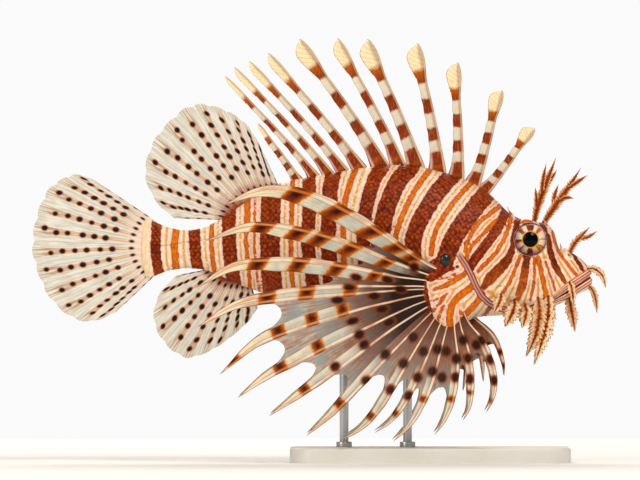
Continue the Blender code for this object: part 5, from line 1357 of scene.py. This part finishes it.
def makeMedianFin(name, fin):
    shape = medianShape
    last = len(fin["tips"]) - 1
    share = np.linspace(0, 1, last * shape["perRay"] + 1)
    ray = share * last
    nearest = np.rint(ray)
    tips, roots = curveAt(fin["tips"], ray), smoothPath(fin["roots"], len(ray))
    length = np.linalg.norm(tips - roots, axis=1)
    roots = roots - unit(tips - roots) * fin["sink"]
    margin = 1 - shape["scallop"] * (2 * (ray - nearest)) ** 2
    reach = np.linspace(0, 1, shape["rows"] + 1)[:, None] * margin
    flat = roots * (1 - reach)[..., None] + tips * reach[..., None]
    # the gap between rays at every place, and how far it lies from the nearest ray and its branches
    tipStep, rootStep = (np.linalg.norm(np.gradient(line, axis=0), axis=1) for line in (tips, roots))
    local = (rootStep * (1 - reach) + tipStep * reach) * shape["perRay"]
    offset = (ray - nearest) * local
    fork, twig = (np.clip((reach - first) / (1 - first), 0, 1) * aside * local
                  for first, aside in (shape["branch"], shape["twig"]))
    branch = np.abs(offset) - fork
    twigs = np.minimum(np.abs(branch - twig), np.abs(branch + twig))
    ridge = bell(branch, shape["rayWidth"]) * (1 - 0.55 * reach)
    half = (shape["skinHalf"] + shape["rayHalf"] * ridge) * (1 - np.abs(2 * share - 1) ** 40)
    half[-1] = webShape["marginHalf"]
    sway = fin["wave"] * reach * np.sin(math.tau * share * 1.5)
    spot, halo = np.full((2,) + reach.shape, 9.0)
    for j in range(last + 1):
        rayLength = np.interp(j, ray, length)
        outermost = j in (0, last)
        many = 3 if outermost else fin["spots"]
        beside = offset + (nearest - j) * local
        for k in range(many):
            middle = 0.30 + 0.66 * (k + 0.5 * (j % 2)) / many + dice.normal(0, 0.008)
            along = (reach - middle) * rayLength
            turn = (0 if middle < 0.74 else 1 if (j + k) % 2 else -1) * min(1.0, 4 * (middle - 0.72))
            aside = beside - turn * 0.15 * local
            size = dice.uniform(0.86, 1.1) * (0.75 if outermost else 1)
            past = np.hypot(along / shape["spotLong"], aside / shape["spotWide"]) - size
            spot = np.minimum(spot, past * shape["spotWide"])
            halo = np.minimum(halo, np.hypot(along / 4.2, aside / 1.1) - 1)
        # a small dark mark at the foot of each ray
        spot = np.minimum(spot, np.hypot((reach - 0.13) * rayLength / 1.5, beside / 0.9) - 0.9)
    marks = {"finMarks": stacked(np.abs(branch), np.clip(spot, -9, 9), reach),
             "finPlace": stacked(np.clip(halo, -9, 9), twigs, local * 0.5 - np.abs(offset))}
    places = stacked(flat[..., 0], sway, flat[..., 1])
    unwrap = stacked(reach * 0.3, share * 0.4)
    return joinPieces(name, [addShell(name, places, rightward, half, marks, unwrap)])


def medianMaterial(name, footColour):
    # painted fin of thin cast resin: grey-cream skin, tan rays, dark spots with a warm halo along each ray
    material, tree, surface, place = startMaterial(name, Roughness=0.48, Specular_IOR_Level=0.12)
    rib, spot, along = fields(tree, "finMarks")
    halo, twig, gap = fields(tree, "finPlace")
    streak = lumps(tree, place.node.outputs["UV"], 1000, 3.0, 0.5, (1 / 18, 1 / 230, 1))
    blotch = lumps(tree, place, 6.0)
    # each ray: a peach core between two thin tan lines, paler toward the margin
    core = layered(tree, "#F3C49C", ("#E6DAC6", (along, 0.35, 0.95)))
    line = layered(tree, "#B4683E", ("#A58C70", (along, 0.3, 1.0)))
    finish(tree, surface, layered(
        tree, "#C9C5B8", ("#E9E5D9", (streak, 0.35, 0.65)), ("#D9B5A4", (blotch, 0.55, 0.75, 0.0, 0.3)),
        (core, (rib, 0.35, 0.6, 0.85, 0.0)), (line, (rib, 0.34, 0.52), (rib, 0.56, 0.8, 0.8, 0.0)),
        ("#A58C70", (twig, 0.1, 0.3, 0.5, 0.0), (along, 0.45, 0.7)),
        ("#A79A86", (gap, 0.1, 0.35, 0.45, 0.0), (along, 0.95, 0.5)),
        ("#D0824E", (halo, -0.6, 0.2, 0.5, 0.0)),
        (footColour, (summed(tree, along, (blotch, 0.22)), 0.18, 0.34, 0.9, 0.0)),
        ("#8A3A18", (spot, -0.1, 0.5, 0.7, 0.0)), ("#240C07", (spot, -0.45, 0.1, 1.0, 0.0))), streak, 0.12)
    return material


medianPaint = medianMaterial("paintedSoftFinSkin", "#8A2A12")
tailPaint = medianMaterial("paintedTailFinSkin", "#F0DCCB")
for name, fin in medianFins.items():
    look = tailPaint if name == "tailFin" else medianPaint
    dress(makeMedianFin(name, fin), look, (fin["replaces"],))
print("median fins made")


# the stand: a rounded board and two slim rods
stand = {"length": 150.0, "width": 90.0, "thick": 8.0, "corner": 14.0, "edge": 1.2,
         "rods": (("stand_rod_rear", -46.0), ("stand_rod_front", -12.0)), "rod": 2.4, "rodSink": 0.5,
         "rodEdge": 0.35, "collar": 4.2, "collarHigh": 3.0}


def bevelEdges(piece, chosen, width, segments):
    selectOnly(piece)
    bpy.ops.object.mode_set(mode="EDIT")
    bpy.ops.mesh.select_mode(type="EDGE")
    bpy.ops.mesh.select_all(action="DESELECT")
    bpy.ops.object.mode_set(mode="OBJECT")
    for line in piece.data.edges:
        line.select = chosen(*(piece.data.vertices[i].co.z / mm for i in line.vertices))
    bpy.ops.object.mode_set(mode="EDIT")
    bpy.ops.mesh.bevel(offset=width * mm, segments=segments, affect="EDGES")
    bpy.ops.object.mode_set(mode="OBJECT")


bpy.ops.mesh.primitive_cube_add(size=1)
board = shapeIt(lambda at: (at + (0, 0, 0.5)) * (stand["length"], stand["width"], stand["thick"]))
bevelEdges(board, lambda a, b: abs(a - b) > 1, stand["corner"], 12)
bevelEdges(board, lambda a, b: min(a, b) > stand["thick"] - 0.1, stand["edge"], 4)
# satin lacquered board: a warm grey-white, faintly clouded by the brushed lacquer, with soft wide highlights
boardPaint = mottled("satinLacqueredBoard", 30.0, ((0.3, "#D2CEC5"), (0.7, "#DEDAD3")), Roughness=0.38)
dress(joinPieces("standBoard", [board], 35), boardPaint, ("stand_base",))
# brushed stainless steel: grey metal with fine rings round each rod
rodPaint, tree, surface, place = startMaterial("brushedStainlessSteel", Base_Color=linear("#B9BABC"),
                                               Metallic=1.0, Roughness=0.3)
rings = lumps(tree, place, 0.5, 2.0, 0.5, (20, 20, 0.6))
brushed = addNode(tree, "ShaderNodeBump", {"Strength": 0.4, "Distance": 0.02 * mm, "Height": rings})
tree.links.new(brushed, surface.inputs["Normal"])
for node, x in stand["rods"]:
    low, top = stand["thick"] - stand["rodSink"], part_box(node)[1][2] / mm
    turned = []
    for radius, high in ((stand["rod"], top), (stand["collar"], stand["thick"] + stand["collarHigh"])):
        bpy.ops.mesh.primitive_cylinder_add(vertices=48, radius=1, depth=1)
        rod = shapeIt(lambda at: at * (radius, radius, high - low) + (x, 0, 0.5 * (high + low)))
        bevelEdges(rod, lambda a, b: abs(a - b) < 0.1, stand["rodEdge"], 3)
        turned.append(rod)
    dress(joinPieces("standRod" + node.split("_")[2].title(), turned, 35), rodPaint, (node,))
print("stand made")


# plain pale floor, soft studio light and a long lens level with the fish
studio = {"floorRadius": 0.9, "distance": 7.6, "lens": 797.9, "middleX": -58.9, "middleZ": 119.0}
bpy.ops.mesh.primitive_circle_add(vertices=96, radius=studio["floorRadius"], fill_type="NGON")
floor = bpy.context.object
floor.name = "studioFloor"
# mat white paper: no shine, the faintest cloud of its pulp
paper = mottled("matWhitePaper", 60.0, ((0.3, "#F2F1EF"), (0.7, "#F6F5F3")), Roughness=0.9)
floor.data.materials.append(paper)

world = bpy.data.worlds.new("paleStudio")
bpy.context.scene.world = world
world.use_nodes = True
sky = world.node_tree.nodes["Background"]
sky.inputs[0].default_value = (1, 1, 1, 1)
# bright where it is seen behind the model, dimmer as a light so that dark colours keep their depth
seen = addNode(world.node_tree, "ShaderNodeLightPath", output="Is Camera Ray")
glow = addNode(world.node_tree, "ShaderNodeMapRange", {0: seen, 1: 0.0, 2: 1.0, 3: 0.40, 4: 0.96})
world.node_tree.links.new(glow, sky.inputs[1])


def addLight(name, place, size, power):
    # a warm round softbox turned towards the middle of the fish
    bpy.ops.object.light_add(type="AREA", location=place)
    lamp = bpy.context.object
    lamp.name = name
    lamp.data.shape = "DISK"
    lamp.data.size = size
    lamp.data.energy = power
    lamp.data.color = (1.0, 0.93, 0.84)
    x, y, z = np.array([0.0, 0.0, 0.11]) - place
    lamp.rotation_euler = (math.atan2(math.hypot(x, y), -z), 0, math.atan2(y, x) - 0.5 * math.pi)


addLight("keyLight", (0.5, -1.3, 1.3), 0.7, 18)
addLight("fillLight", (-1.2, -1.1, 0.6), 1.0, 7)
addLight("backLight", (-0.2, 1.2, 1.1), 0.9, 14)

bpy.ops.object.camera_add(location=(studio["middleX"] * mm, -studio["distance"], studio["middleZ"] * mm),
                          rotation=(0.5 * math.pi, 0, 0))
camera = bpy.context.object
camera.data.lens = studio["lens"]
camera.data.sensor_width = 36
bpy.context.scene.camera = camera
bpy.context.scene.view_settings.view_transform = "Standard"
print("studio ready")
